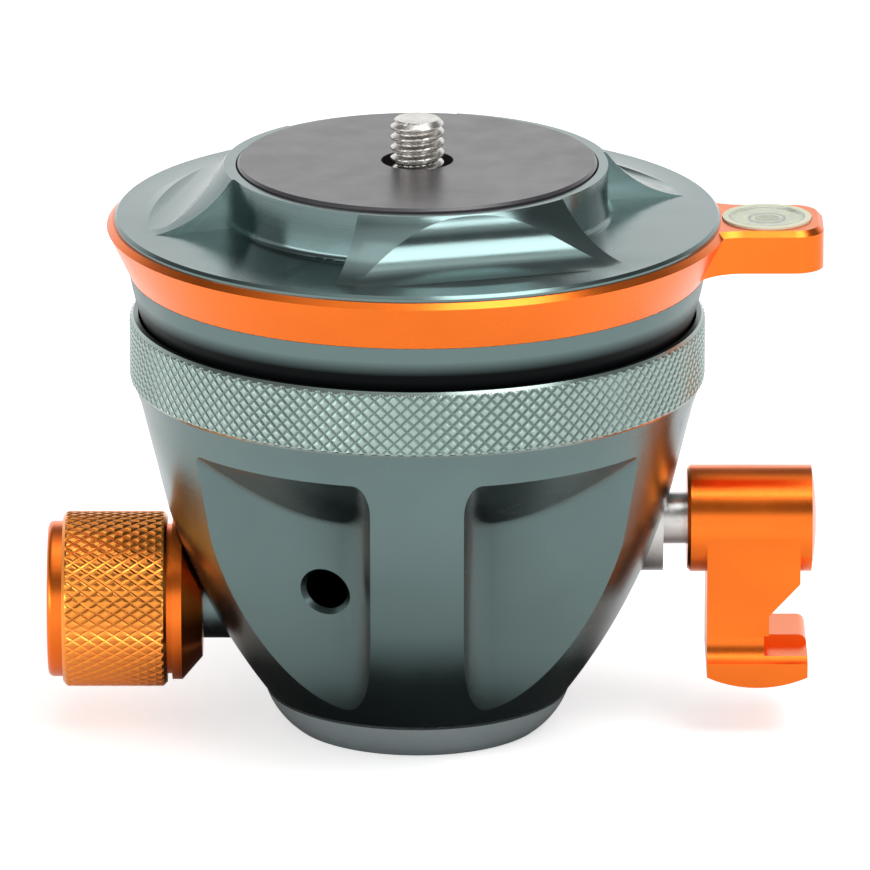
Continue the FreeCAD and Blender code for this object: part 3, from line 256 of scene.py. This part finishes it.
def parts_of(tree, where):
    """A place's X, Y and Z."""
    return wired(tree, "ShaderNodeSeparateXYZ", Vector=where).outputs


def from_axis(tree, first, second):
    """Distance from an axis, from the two parts of a place across it."""
    return calc(tree, "SQRT", calc(
        tree, "ADD", calc(tree, "MULTIPLY", first, first), calc(tree, "MULTIPLY", second, second)))


def noise(tree, where, size, detail=2.0):
    """Noise between 0 and 1 with features of about the given size in metres."""
    return wired(tree, "ShaderNodeTexNoise", Vector=where, Scale=1.0 / size,
                 Detail=detail, Roughness=0.55).outputs["Fac"]


def varied(tree, surface, colour, where, size, amount):
    """Base colour that drifts a little from place to place; gives its output."""
    low = tuple(max(0.0, part * (1.0 - amount)) for part in colour)
    high = tuple(min(1.0, part * (1.0 + amount)) for part in colour)
    drift = ramp(tree, noise(tree, where, size, 3.0), ((DRIFT_FROM, low), (DRIFT_TO, high)))
    fill(surface, Base_Color=drift)
    return drift


def painted_corner_shade(tree, surface, tone, reach):
    """Painted shade: base colour darkened within reach of inside corners, by how open each point
    is.
    """
    corner = wired(tree, "ShaderNodeAmbientOcclusion", Distance=reach)
    corner.only_local = True
    corner.samples = 12
    depth = ramp(tree, corner.outputs["AO"], CORNER_SHADE)
    fill(surface, Base_Color=vector_calc(tree, "MULTIPLY", i0=tone, i1=depth))


def rough_between(tree, surface, where, size, low, high):
    """Roughness that drifts between two values."""
    drift = ramp(tree, noise(tree, where, size, 4.0), ((DRIFT_FROM, low), (DRIFT_TO, high)))
    fill(surface, Roughness=drift)


def bumped(tree, surface, height, distance, strength=1.0, **under):
    """Lay a height over a surface, over another's Normal if given; distance is in metres."""
    made = wired(tree, "ShaderNodeBump", Height=height, Distance=distance, Strength=strength,
                 **under)
    fill(surface, Normal=made.outputs[0])
    return made.outputs[0]


def ring_height(tree, where, axis, spacing):
    """Fine irregular rings around an axis, from the distance to it and the place along it."""
    parts = parts_of(tree, where)
    across = [parts[letter] for letter in "XYZ" if letter != axis]
    reach = calc(tree, "ADD", from_axis(tree, *across), parts[axis])
    made = tree.nodes.new("ShaderNodeTexNoise")
    made.noise_dimensions = "1D"
    fill(made, W=calc(tree, "MULTIPLY", reach, 1.0 / spacing), Detail=2.0)
    return made.outputs["Fac"]


# ---------------------------------------------------------------- materials

def anodised(name, colour, finish, rough, axis="Z", centre=PAN_CENTRE, marks=0.000004, film=0.3,
             corners=0.0, metal=1.0):
    """Anodised aluminium: blasted grain, turning marks, a drift of colour and a clear hard film.

    The turning marks run around the axis through the centre and are marks deep, film is the
    film's weight, and corners is the reach of painted corner shade on the colour, in metres.
    """
    made, tree, surface = blank_material(name)
    where = place_of(tree, centre)
    tone = varied(tree, surface, colour, where, size=0.012, amount=0.05)
    # Painted shade: the colour darkens in inside corners.
    if corners > 0.0:
        painted_corner_shade(tree, surface, tone, corners)
    rough_between(tree, surface, where, size=0.006, low=rough - 0.04, high=rough + 0.04)
    rings = bumped(tree, surface, ring_height(tree, where, axis, finish.turning), marks)
    bumped(tree, surface, noise(tree, where, finish.grain), 0.000006, strength=0.6, Normal=rings)
    fill(surface, Metallic=metal, Coat_Weight=film, Coat_Roughness=0.22, Coat_IOR=1.6)
    return made


def steel(name, colour, rough, axis="Z", centre=PAN_CENTRE, spacing=0.0001):
    """Turned steel or bronze: rings from the lathe and faint smears."""
    made, tree, surface = blank_material(name)
    where = place_of(tree, centre)
    varied(tree, surface, colour, where, size=0.003, amount=0.06)
    rough_between(tree, surface, where, size=0.002, low=rough - 0.05, high=rough + 0.06)
    bumped(tree, surface, ring_height(tree, where, axis, spacing), 0.000004)
    fill(surface, Metallic=1.0)
    return made


def plain(name, colour, rough, relief=0.000006, coat=0.0, coat_rough=0.03):
    """Plastic or rubber with a fine grain; relief is its height in metres."""
    made, tree, surface = blank_material(name)
    where = place_of(tree)
    varied(tree, surface, colour, where, size=0.008, amount=0.08)
    rough_between(tree, surface, where, size=0.004, low=rough - 0.05, high=rough + 0.05)
    bumped(tree, surface, noise(tree, where, size=0.0002), relief)
    fill(surface, Coat_Weight=coat, Coat_Roughness=coat_rough)
    return made


def clear(name, colour, weight, rough):
    """Clear plastic or fluid; weight is how much light goes through."""
    made, tree, surface = blank_material(name)
    where = place_of(tree)
    varied(tree, surface, colour, where, size=0.001, amount=0.03)
    rough_between(tree, surface, where, size=0.002, low=rough - 0.02, high=rough + 0.02)
    fill(surface, Transmission_Weight=weight, IOR=1.42)
    return made


def ball_with_painted_shade(finish):
    """The half ball's slate finish, with painted shade below the height that the collar's mouth
    shades at rest: black there, not metallic and barely glossy.
    """
    # Painted shade: black up to this height, slate from that one.
    shaded_up_to, slate_from = 0.0527, 0.0545
    black = (0.003, 0.0035, 0.004)
    made = anodised("slate_ball_painted_shade", finish.slate, finish, 0.34, film=0.0)
    tree = made.node_tree
    surface = next(item for item in tree.nodes if item.type == "BSDF_PRINCIPLED")
    height = wired(tree, "ShaderNodeMapRange", Value=parts_of(tree, place_of(tree))["Z"],
                   From_Min=shaded_up_to, From_Max=slate_from).outputs[0]
    fill(surface, Base_Color=ramp(tree, height, ((0.0, black), (1.0, finish.slate))),
         Metallic=height, Specular_IOR_Level=0.05)
    return made


# ---------------------------------------------------------------- mesh helpers

def box_mm(node):
    """Lowest and highest corner of a construction node, in whole micrometres as millimetres."""
    return [tuple(round(part / MM, 3) for part in corner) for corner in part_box(node)]


def around_z(turn, radius, along):
    """Point in metres at a turn in radians about the Z axis, from millimetres."""
    return (MM * radius * math.cos(turn), MM * radius * math.sin(turn), MM * along)


def around_knob(turn, radius, along):
    """The same about the knob's axis, which points to -X."""
    height = KNOB_CENTRE[2] / MM
    return (-MM * along, MM * radius * math.cos(turn), MM * (height + radius * math.sin(turn)))


def surface_from(name, points, faces, smooth):
    """An object from points in metres and faces."""
    mesh = bpy.data.meshes.new(name)
    mesh.from_pydata(points, [], faces)
    mesh.update()
    for face in mesh.polygons:
        face.use_smooth = smooth
    made = bpy.data.objects.new(name, mesh)
    bpy.context.scene.collection.objects.link(made)
    return made


def to_groove(count):
    """Steps from a place in the knurl to the nearest groove of one hand."""
    return min(count % STEPS_A_DIAMOND, -count % STEPS_A_DIAMOND)


def knurl_share(step, row, last):
    """Share of the knurl's depth at a step around and a row along; its edges are cut full."""
    if row in (0, last):
        return 1.0
    return GROOVE[min(to_groove(step + row), to_groove(step - row))]


def rings_to_faces(count, segments, closed, knurled):
    """Faces between rings of points; knurled squares are split along the nearest groove.

    knurled gives the row of each ring index in the knurl. Grooves of one hand run where step and
    row add up to a multiple of a diamond's steps, those of the other hand where they differ by one.
    """
    faces = []
    for index in range(count if closed else count - 1):
        following = (index + 1) % count
        for step in range(segments):
            ahead = (step + 1) % segments
            a = index * segments + step
            b = index * segments + ahead
            c = following * segments + ahead
            d = following * segments + step
            if index not in knurled:
                faces.append((a, b, c, d))
            elif to_groove(step - knurled[index]) <= to_groove(step + knurled[index] + 1):
                faces += [(a, b, c), (a, c, d)]
            else:
                faces += [(a, b, d), (b, c, d)]
    return faces


def end_caps(count, segments):
    """Flat faces over the first and the last ring of points."""
    last = (count - 1) * segments
    return [tuple(reversed(range(segments))), tuple(range(last, last + segments))]


def knurled_turning(name, before, band, after, knurl, point, closed):
    """Turned solid with a diamond knurl around one band of it, in millimetres.

    before and after are profiles of (radius, along), band is the knurl's (radius, low, high),
    knurl its settings, and point turns a place on the profile into one in space.
    """
    radius, low, high = band
    depth = knurl.depth / MM
    segments, last = STEPS_A_DIAMOND * knurl.across, STEPS_A_DIAMOND * knurl.rows
    knurled = {len(before) + row: row for row in range(last)}
    rings = [[(reach, along)] * segments for reach, along in before]
    for row in range(last + 1):
        along = low + (high - low) * row / last
        rings.append([(radius - depth * knurl_share(step, row, last), along)
                      for step in range(segments)])
    rings += [[(reach, along)] * segments for reach, along in after]
    points = [point(2.0 * math.pi * step / segments, reach, along)
              for ring in rings for step, (reach, along) in enumerate(ring)]
    faces = rings_to_faces(len(rings), segments, closed, knurled)
    if not closed:
        faces += end_caps(len(rings), segments)
    return surface_from(name, points, faces, smooth=False)


def cut_hole(thing, radius, start, end):
    """Drill a round hole between two points in metres."""
    start, end = Vector(start), Vector(end)
    way = end - start
    bpy.ops.mesh.primitive_cylinder_add(vertices=48, radius=radius, depth=way.length)
    drill = bpy.context.active_object
    turned = way.to_track_quat("Z", "Y").to_matrix().to_4x4()
    drill.matrix_world = Matrix.Translation((start + end) / 2) @ turned
    hole = thing.modifiers.new("hole", "BOOLEAN")
    hole.operation = "DIFFERENCE"
    hole.solver = "EXACT"
    hole.object = drill
    bpy.context.view_layer.update()
    evaluated = thing.evaluated_get(bpy.context.evaluated_depsgraph_get())
    finished = bpy.data.meshes.new_from_object(evaluated)
    thing.modifiers.remove(hole)
    thing.data = finished
    bpy.data.objects.remove(drill)


def split_edges(thing, angle):
    """Crisp shading over edges sharper than an angle in degrees."""
    split = thing.modifiers.new("split", "EDGE_SPLIT")
    split.split_angle = math.radians(angle)


def shade_construction(piece):
    """Round shading over the shallow edges of a construction piece, crisp over the others."""
    attributes = piece.data.attributes
    for name in ("custom_normal", "sharp_face", "sharp_edge"):
        if name in attributes:
            attributes.remove(attributes[name])
    for face in piece.data.polygons:
        face.use_smooth = True
    weld = piece.modifiers.new("weld", "WELD")
    weld.merge_threshold = 0.001 * MM
    split_edges(piece, 12.0)


def shade_knurled(thing, turned):
    """Smooth shading where turned says so of a face's centre; elsewhere the knurl's material."""
    for face in thing.data.polygons:
        face.use_smooth = turned(face.center)
        face.material_index = 0 if face.use_smooth else 1
    split_edges(thing, 25.0)


def paint(thing, *materials):
    """Give a piece its materials."""
    thing.data.materials.clear()
    for material in materials:
        thing.data.materials.append(material)


# ---------------------------------------------------------------- operators

class LEVELBASE_OT_cad_looks(bpy.types.Operator):
    """Give every construction piece its material and shading"""

    bl_idname = "levelbase.cad_looks"
    bl_label = "Construction pieces"

    def execute(self, context):
        finish = context.scene.levelbase_finish
        slate, orange, stainless = finish.slate, finish.orange, finish.stainless
        # Painted shade darkens the body's colour in its inside corners.
        body = anodised("slate_body", slate, finish, 0.24, film=0.04, corners=0.012)
        # Lightened colour: painted light for the floor that the foot reflects.
        foot = anodised("slate_foot", finish.foot, finish, 0.45, metal=0.3)
        plate = anodised("slate_plate", slate, finish, 0.15, marks=0.000003, film=0.2)
        knob_bush = anodised("slate_bush", slate, finish, 0.3, axis="X", centre=KNOB_CENTRE)
        ring = anodised("orange_ring", orange, finish, 0.25, film=0.1)
        lever = anodised("orange_lever", orange, finish, 0.22, axis="X", centre=LEVER_CENTRE,
                         film=0.1)
        upright_steel = steel("stainless_upright", stainless, 0.28)
        lever_steel = steel("stainless_lever", stainless, 0.30, "X", LEVER_CENTRE)
        knob_steel = steel("stainless_knob", stainless, 0.30, "X", KNOB_CENTRE)
        dark = steel("blackened_steel", (0.03, 0.03, 0.032), 0.4)
        bronze = steel("bronze", (0.55, 0.36, 0.17), 0.35)
        slip = plain("slip_plastic", (0.72, 0.71, 0.66), 0.5)
        pad = plain("pad_black", finish.pad, 0.34, relief=0.000003, coat=0.6, coat_rough=0.30)
        cup = plain("vial_cup", (0.80, 0.80, 0.60), 0.35)
        fluid = clear("vial_fluid", finish.fluid, 0.5, 0.03)
        lens = clear("vial_lens", (0.97, 0.99, 0.96), 1.0, 0.02)
        looks = {
            "housing": body, "base_ring": foot, "top_plate": plate, "pan_knob_bush": knob_bush,
            "half_ball": ball_with_painted_shade(finish), "level_ring": ring, "tilt_lever": lever,
            "pan_spindle": upright_steel, "base_thread_insert": upright_steel,
            "base_screws": upright_steel, "spindle_retainer": upright_steel,
            "clamp_dish": upright_steel, "draw_rod": upright_steel, "clamp_nut": upright_steel,
            "lever_bush": lever_steel, "lever_shaft": lever_steel, "pan_screw": knob_steel,
            "brake_pin": knob_steel, "neck_grub_screws": dark, "lever_grub_screw": dark,
            "knob_grub_screw": dark, "disc_springs": dark, "ball_seat_ring": bronze,
            "friction_washer": bronze, "upper_thrust_washer": slip, "lower_thrust_washer": slip,
            "top_pad": pad, "vial_cup": cup, "vial_liquid": fluid, "vial_lens": lens,
        }
        for name, material in looks.items():
            piece = frame["nodes"][name]
            paint(piece, material)
            shade_construction(piece)
        return {"FINISHED"}


class LEVELBASE_OT_grip_collar(bpy.types.Operator):
    """Build the grip collar with its diamond knurl"""

    bl_idname = "levelbase.grip_collar"
    bl_label = "Grip collar"

    def execute(self, context):
        finish = context.scene.levelbase_finish
        collar = context.scene.levelbase_collar
        (_, _, low), (outside, _, high) = box_mm("grip_collar")
        bevel, bevel_height = 0.45, 0.3
        rim = outside - bevel
        seat_radius, seat_centre, seat_steps = 35.1, 62.0, 12    # of the bowl that the ball sits in
        spigot, step_up = 31.85, 45.25                           # where the housing's rim fits
        bowl = []
        for index in range(seat_steps + 1):
            height = high - (high - step_up) * index / seat_steps
            bowl.append((math.sqrt(seat_radius ** 2 - (seat_centre - height) ** 2), height))
        thing = knurled_turning(
            "knurled_grip_collar", [(rim, low)], (outside, low + bevel_height, high - bevel_height),
            [(rim, high)] + bowl + [(spigot, step_up), (spigot, low)],
            collar, around_z, closed=True)
        # The knurl's faces take the lighter colour, a painted highlight.
        paint(thing, anodised("slate_collar", finish.slate, finish, 0.30),
              anodised("slate_knurl_painted_highlight", collar.colour, finish, 0.24))
        shade_knurled(thing, lambda centre: math.hypot(centre.x, centre.y) < MM * rim)
        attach(thing, "housing")
        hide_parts("grip_collar")
        return {"FINISHED"}


class LEVELBASE_OT_pan_knob(bpy.types.Operator):
    """Build the pan knob with its diamond knurl"""

    bl_idname = "levelbase.pan_knob"
    bl_label = "Pan knob"

    def execute(self, context):
        finish = context.scene.levelbase_finish
        knob = context.scene.levelbase_knob
        lowest, highest = box_mm("pan_knob")
        outside, near, far = 0.5 * (highest[2] - lowest[2]), -highest[0], -lowest[0]
        bore, bore_end = 3.0, 36.35
        cone, land, land_from, land_to = 6.95, 9.7, 28.2, 29.4
        neck, grip_from, grip_to = 9.0, 30.0, 42.5
        edge, bevel, turned_below = 10.0, 0.35, 9.9
        front, rounding, rounding_steps = 9.35, 0.7, 6
        inner = [(bore, bore_end), (bore, near), (cone, near), (land, land_from), (land, land_to),
                 (neck, land_to), (neck, grip_from), (edge, grip_from)]
        outer = [(edge, grip_to), (front, grip_to)]
        for index in range(rounding_steps + 1):
            turn = 0.5 * math.pi * index / rounding_steps
            outer.append((front - rounding * (1.0 - math.cos(turn)),
                          far - rounding * (1.0 - math.sin(turn))))
        thing = knurled_turning(
            "knurled_pan_knob", inner, (outside, grip_from + bevel, grip_to - bevel), outer,
            knob, around_knob, closed=False)
        screw_place, screw_hole, hole_top, hole_bottom = -29.2, 1.45, 10.8, 2.0
        cut_hole(thing, MM * screw_hole, (MM * screw_place, 0.0, MM * hole_top),
                 (MM * screw_place, 0.0, MM * hole_bottom))
        # The knurl's faces take the lighter colour, a painted highlight.
        paint(thing, anodised("orange_knob", finish.orange, finish, 0.24, axis="X",
                              centre=KNOB_CENTRE, film=0.1),
              anodised("orange_knurl_painted_highlight", knob.colour, finish, 0.20, axis="X", centre=KNOB_CENTRE))
        shade_knurled(thing, lambda centre: math.hypot(
            centre.y, centre.z - KNOB_CENTRE[2]) < MM * turned_below)
        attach(thing, "knob")
        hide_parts("pan_knob")
        return {"FINISHED"}


class LEVELBASE_OT_camera_stud(bpy.types.Operator):
    """Build the camera stud with its thread"""

    bl_idname = "levelbase.camera_stud"
    bl_label = "Camera stud"

    def execute(self, context):
        stud = context.scene.levelbase_stud
        (_, _, foot), (head, _, tip) = box_mm("camera_stud")
        head_top, shank, shank_top, neck = 62.4, 4.6, 67.1, 2.5
        radius, thread_from, taper, rows = 3.175, 67.15, 0.6, 120
        crest_width, flank = 1.35, 1.6    # both as shares of the depth, over half a pitch
        middle = 0.001                    # the head's underside closes at the axis
        pitch, depth, segments = stud.pitch / MM, stud.depth / MM, stud.steps
        profile = [(middle, foot), (head, foot), (head, head_top), (shank, head_top),
                   (shank, shank_top), (neck, shank_top)]
        points = [around_z(2.0 * math.pi * step / segments, reach, along)
                  for reach, along in profile for step in range(segments)]
        for row in range(rows + 1):
            along = thread_from + (tip - thread_from) * row / rows
            room = min(1.0, (tip - along) / taper)
            limit = radius - taper * (1.0 - room)
            for step in range(segments):
                phase = (along / pitch - step / segments) % 1.0
                crest = min(1.0, max(0.0, crest_width - abs(2.0 * phase - 1.0) * flank))
                reach = min(limit, radius - depth * (1.0 - crest))
                points.append(around_z(2.0 * math.pi * step / segments, reach, along))
        count = len(profile) + rows + 1
        faces = rings_to_faces(count, segments, False, {}) + end_caps(count, segments)
        thing = surface_from("threaded_camera_stud", points, faces, smooth=True)
        split_edges(thing, 35.0)
        paint(thing, steel("stainless_stud", (0.66, 0.64, 0.60), 0.22, spacing=0.00015))
        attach(thing, "platform")
        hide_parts("camera_stud")
        return {"FINISHED"}


class LEVELBASE_OT_vial_mark(bpy.types.Operator):
    """Build the black ring under the vial's lens"""

    bl_idname = "levelbase.vial_mark"
    bl_label = "Vial mark"

    def execute(self, context):
        vial = context.scene.levelbase_vial
        vial_place, fluid_top = 0.0416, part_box("vial_liquid")[1].z
        segments, thick, half = 96, 0.00003, 0.5 * vial.width
        corners = ((-half, 0.0), (half, 0.0), (half, thick), (-half, thick))
        points = []
        for reach, rise in corners:
            for step in range(segments):
                turn = 2.0 * math.pi * step / segments
                points.append((vial_place + (vial.radius + reach) * math.cos(turn),
                               (vial.radius + reach) * math.sin(turn), fluid_top + rise))
        faces = rings_to_faces(len(corners), segments, True, {})
        thing = surface_from("vial_mark", points, faces, smooth=False)
        paint(thing, plain("mark_black", (0.008, 0.008, 0.008), 0.5))
        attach(thing, "platform")
        return {"FINISHED"}


class LEVELBASE_OT_stage(bpy.types.Operator):
    """Build the floor, the studio's surroundings, the lamps and the camera"""

    bl_idname = "levelbase.stage"
    bl_label = "Stage"

    def execute(self, context):
        stage = context.scene.levelbase_stage
        self.lay_floor(stage)
        self.build_surroundings(context.scene, stage)
        self.hang_lamps(context.scene)
        self.set_camera(context.scene, stage)
        context.scene.view_settings.view_transform = "Standard"
        return {"FINISHED"}

    def lay_floor(self, stage):
        """A wide pale floor, white to the camera; in metal it has a painted shadow around the foot
        and glows towards white further out.
        """
        lift_from, lift_to = 0.026, 0.080    # radii between which the painted glow seen in metal comes in
        dim_from, dim_to = 0.027, 0.034      # radii between which the painted shadow around the foot, seen in metal, fades out
        painted_shadow_depth = 0.92
        bpy.ops.mesh.primitive_plane_add(size=stage.floor)
        floor = bpy.context.active_object
        floor.name = "floor"
        made, tree, surface = blank_material("floor_white")
        where = place_of(tree)
        pale = varied(tree, surface, (0.90, 0.885, 0.885), where, size=0.4, amount=0.01)
        parts = parts_of(tree, where)
        reach = from_axis(tree, parts["X"], parts["Y"])
        away = wired(tree, "ShaderNodeMapRange", Value=reach, From_Min=lift_from, From_Max=lift_to)
        # Painted shadow seen in metal: the floor's colour darkens near the foot.
        near = wired(tree, "ShaderNodeMapRange", Value=reach, From_Min=dim_from, From_Max=dim_to,
                     To_Min=painted_shadow_depth, To_Max=0.0)
        rays = tree.nodes.new("ShaderNodeLightPath").outputs
        out_of_painted_shadow = calc(tree, "SUBTRACT", 1.0,
                        calc(tree, "MULTIPLY", rays["Is Glossy Ray"], near.outputs[0]))
        seen = calc(tree, "MAXIMUM", rays["Is Camera Ray"], rays["Is Transmission Ray"])
        # Painted light seen in metal: the floor glows more away from the foot.
        mirrored = calc(tree, "MULTIPLY", rays["Is Glossy Ray"], away.outputs[0])
        glow = calc(tree, "ADD", calc(tree, "MULTIPLY", seen, stage.glow),
                    calc(tree, "MULTIPLY", mirrored, stage.sheen))
        fill(surface, Base_Color=vector_calc(tree, "SCALE", i0=pale, Scale=out_of_painted_shadow),
             Roughness=0.9, Specular_IOR_Level=0.1, Emission_Color=(1.0, 1.0, 1.0, 1.0),
             Emission_Strength=glow)
        paint(floor, made)

    def build_surroundings(self, scene, stage):
        """Studio seen in reflections: bright low down and overhead, dimmer between and sideways."""
        bands = ((0.0, 1.15), (0.31, 1.2), (0.42, 0.85), (0.50, 0.28), (0.74, 0.22),
                 (0.82, 0.42), (0.91, 0.85), (0.98, 1.0), (1.0, 0.8))    # upwards, brightness
        sideways_loss = -0.45
        world = bpy.data.worlds.new("studio")
        scene.world = world
        world.use_nodes = True
        tree = world.node_tree
        tree.nodes.clear()
        parts = parts_of(tree, tree.nodes.new("ShaderNodeTexCoord").outputs["Generated"])
        sideways = calc(tree, "MULTIPLY", parts["X"], parts["X"])
        level = calc(tree, "MULTIPLY_ADD", sideways, sideways_loss, 1.0)
        studio = wired(tree, "ShaderNodeBackground", Color=ramp(tree, parts["Z"], bands),
                       Strength=calc(tree, "MULTIPLY", level, stage.sky))
        white = wired(tree, "ShaderNodeBackground", Color=(1.0, 1.0, 1.0, 1.0), Strength=1.0)
        rays = tree.nodes.new("ShaderNodeLightPath").outputs
        mixed = wired(tree, "ShaderNodeMixShader", i0=rays["Is Camera Ray"],
                      i1=studio.outputs[0], i2=white.outputs[0])
        wired(tree, "ShaderNodeOutputWorld", Surface=mixed.outputs[0])

    def hang_lamps(self, scene):
        """Soft lamps: one high at the front right, one low on either side, one overhead."""
        aim = Vector((0.0, 0.0, 0.04))
        lamps = (    # name, place and size in metres, watts
            ("lamp_key", (0.61, -0.51, 1.50), (0.86, 0.80), 9.5),
            ("lamp_left", (-1.46, -0.84, 0.26), (1.5, 0.46), 6.5),
            ("lamp_low", (0.84, -1.35, 0.26), (0.50, 0.30), 2.1),
            ("lamp_top", (0.0, 0.1, 1.7), (0.9, 0.7), 1.8),
        )
        for name, at, size, power in lamps:
            light = bpy.data.lights.new(name, "AREA")
            light.shape = "RECTANGLE"
            light.size, light.size_y = size
            light.energy = power
            lamp = bpy.data.objects.new(name, light)
            scene.collection.objects.link(lamp)
            lamp.location = at
            lamp.rotation_euler = (aim - Vector(at)).to_track_quat("-Z", "Y").to_euler()

    def set_camera(self, scene, stage):
        """Camera at the photo's place and angle, level from side to side."""
        place = (0.002107, -1.3356, 0.44396)
        turned_up = 72.99    # degrees up from looking straight down
        data = bpy.data.cameras.new("camera")
        data.sensor_width = 36.0
        data.lens = stage.lens
        data.clip_start, data.clip_end = 0.05, 100.0
        camera = bpy.data.objects.new("camera", data)
        scene.collection.objects.link(camera)
        camera.location = place
        camera.rotation_euler = (math.radians(turned_up), 0.0, 0.0)
        scene.camera = camera


# ---------------------------------------------------------------- panel and registration

class LEVELBASE_PT_panel(bpy.types.Panel):
    """The settings and the building steps"""

    bl_idname = "LEVELBASE_PT_panel"
    bl_label = "Leveling base"
    bl_space_type = "VIEW_3D"
    bl_region_type = "UI"
    bl_category = "Leveling base"

    def draw(self, context):
        for settings, step in STEPS:
            area = self.layout.box()
            area.label(text=step.bl_label)
            group = getattr(context.scene, "levelbase_" + settings)
            for item in type(group).__annotations__:
                area.prop(group, item)
            area.operator(step.bl_idname)


GROUPS = {
    "finish": FinishSettings, "collar": CollarSettings, "knob": KnobSettings,
    "stud": StudSettings, "vial": VialSettings, "stage": StageSettings,
}
STEPS = (    # settings, operator
    ("finish", LEVELBASE_OT_cad_looks),
    ("collar", LEVELBASE_OT_grip_collar),
    ("knob", LEVELBASE_OT_pan_knob),
    ("stud", LEVELBASE_OT_camera_stud),
    ("vial", LEVELBASE_OT_vial_mark),
    ("stage", LEVELBASE_OT_stage),
)
CLASSES = (*GROUPS.values(), *(step for _, step in STEPS), LEVELBASE_PT_panel)


def register():
    """Make the settings, steps and panel known."""
    for item in CLASSES:
        bpy.utils.register_class(item)
    for name, group in GROUPS.items():
        setattr(bpy.types.Scene, "levelbase_" + name, PointerProperty(type=group))


def unregister():
    """Take them away again."""
    for name in GROUPS:
        delattr(bpy.types.Scene, "levelbase_" + name)
    for item in reversed(CLASSES):
        bpy.utils.unregister_class(item)


def main():
    """Build everything in order."""
    register()
    bpy.ops.levelbase.cad_looks()
    bpy.ops.levelbase.grip_collar()
    bpy.ops.levelbase.pan_knob()
    bpy.ops.levelbase.camera_stud()
    bpy.ops.levelbase.vial_mark()
    bpy.ops.levelbase.stage()
    bpy.context.view_layer.update()


if __name__ == "__main__":
    main()
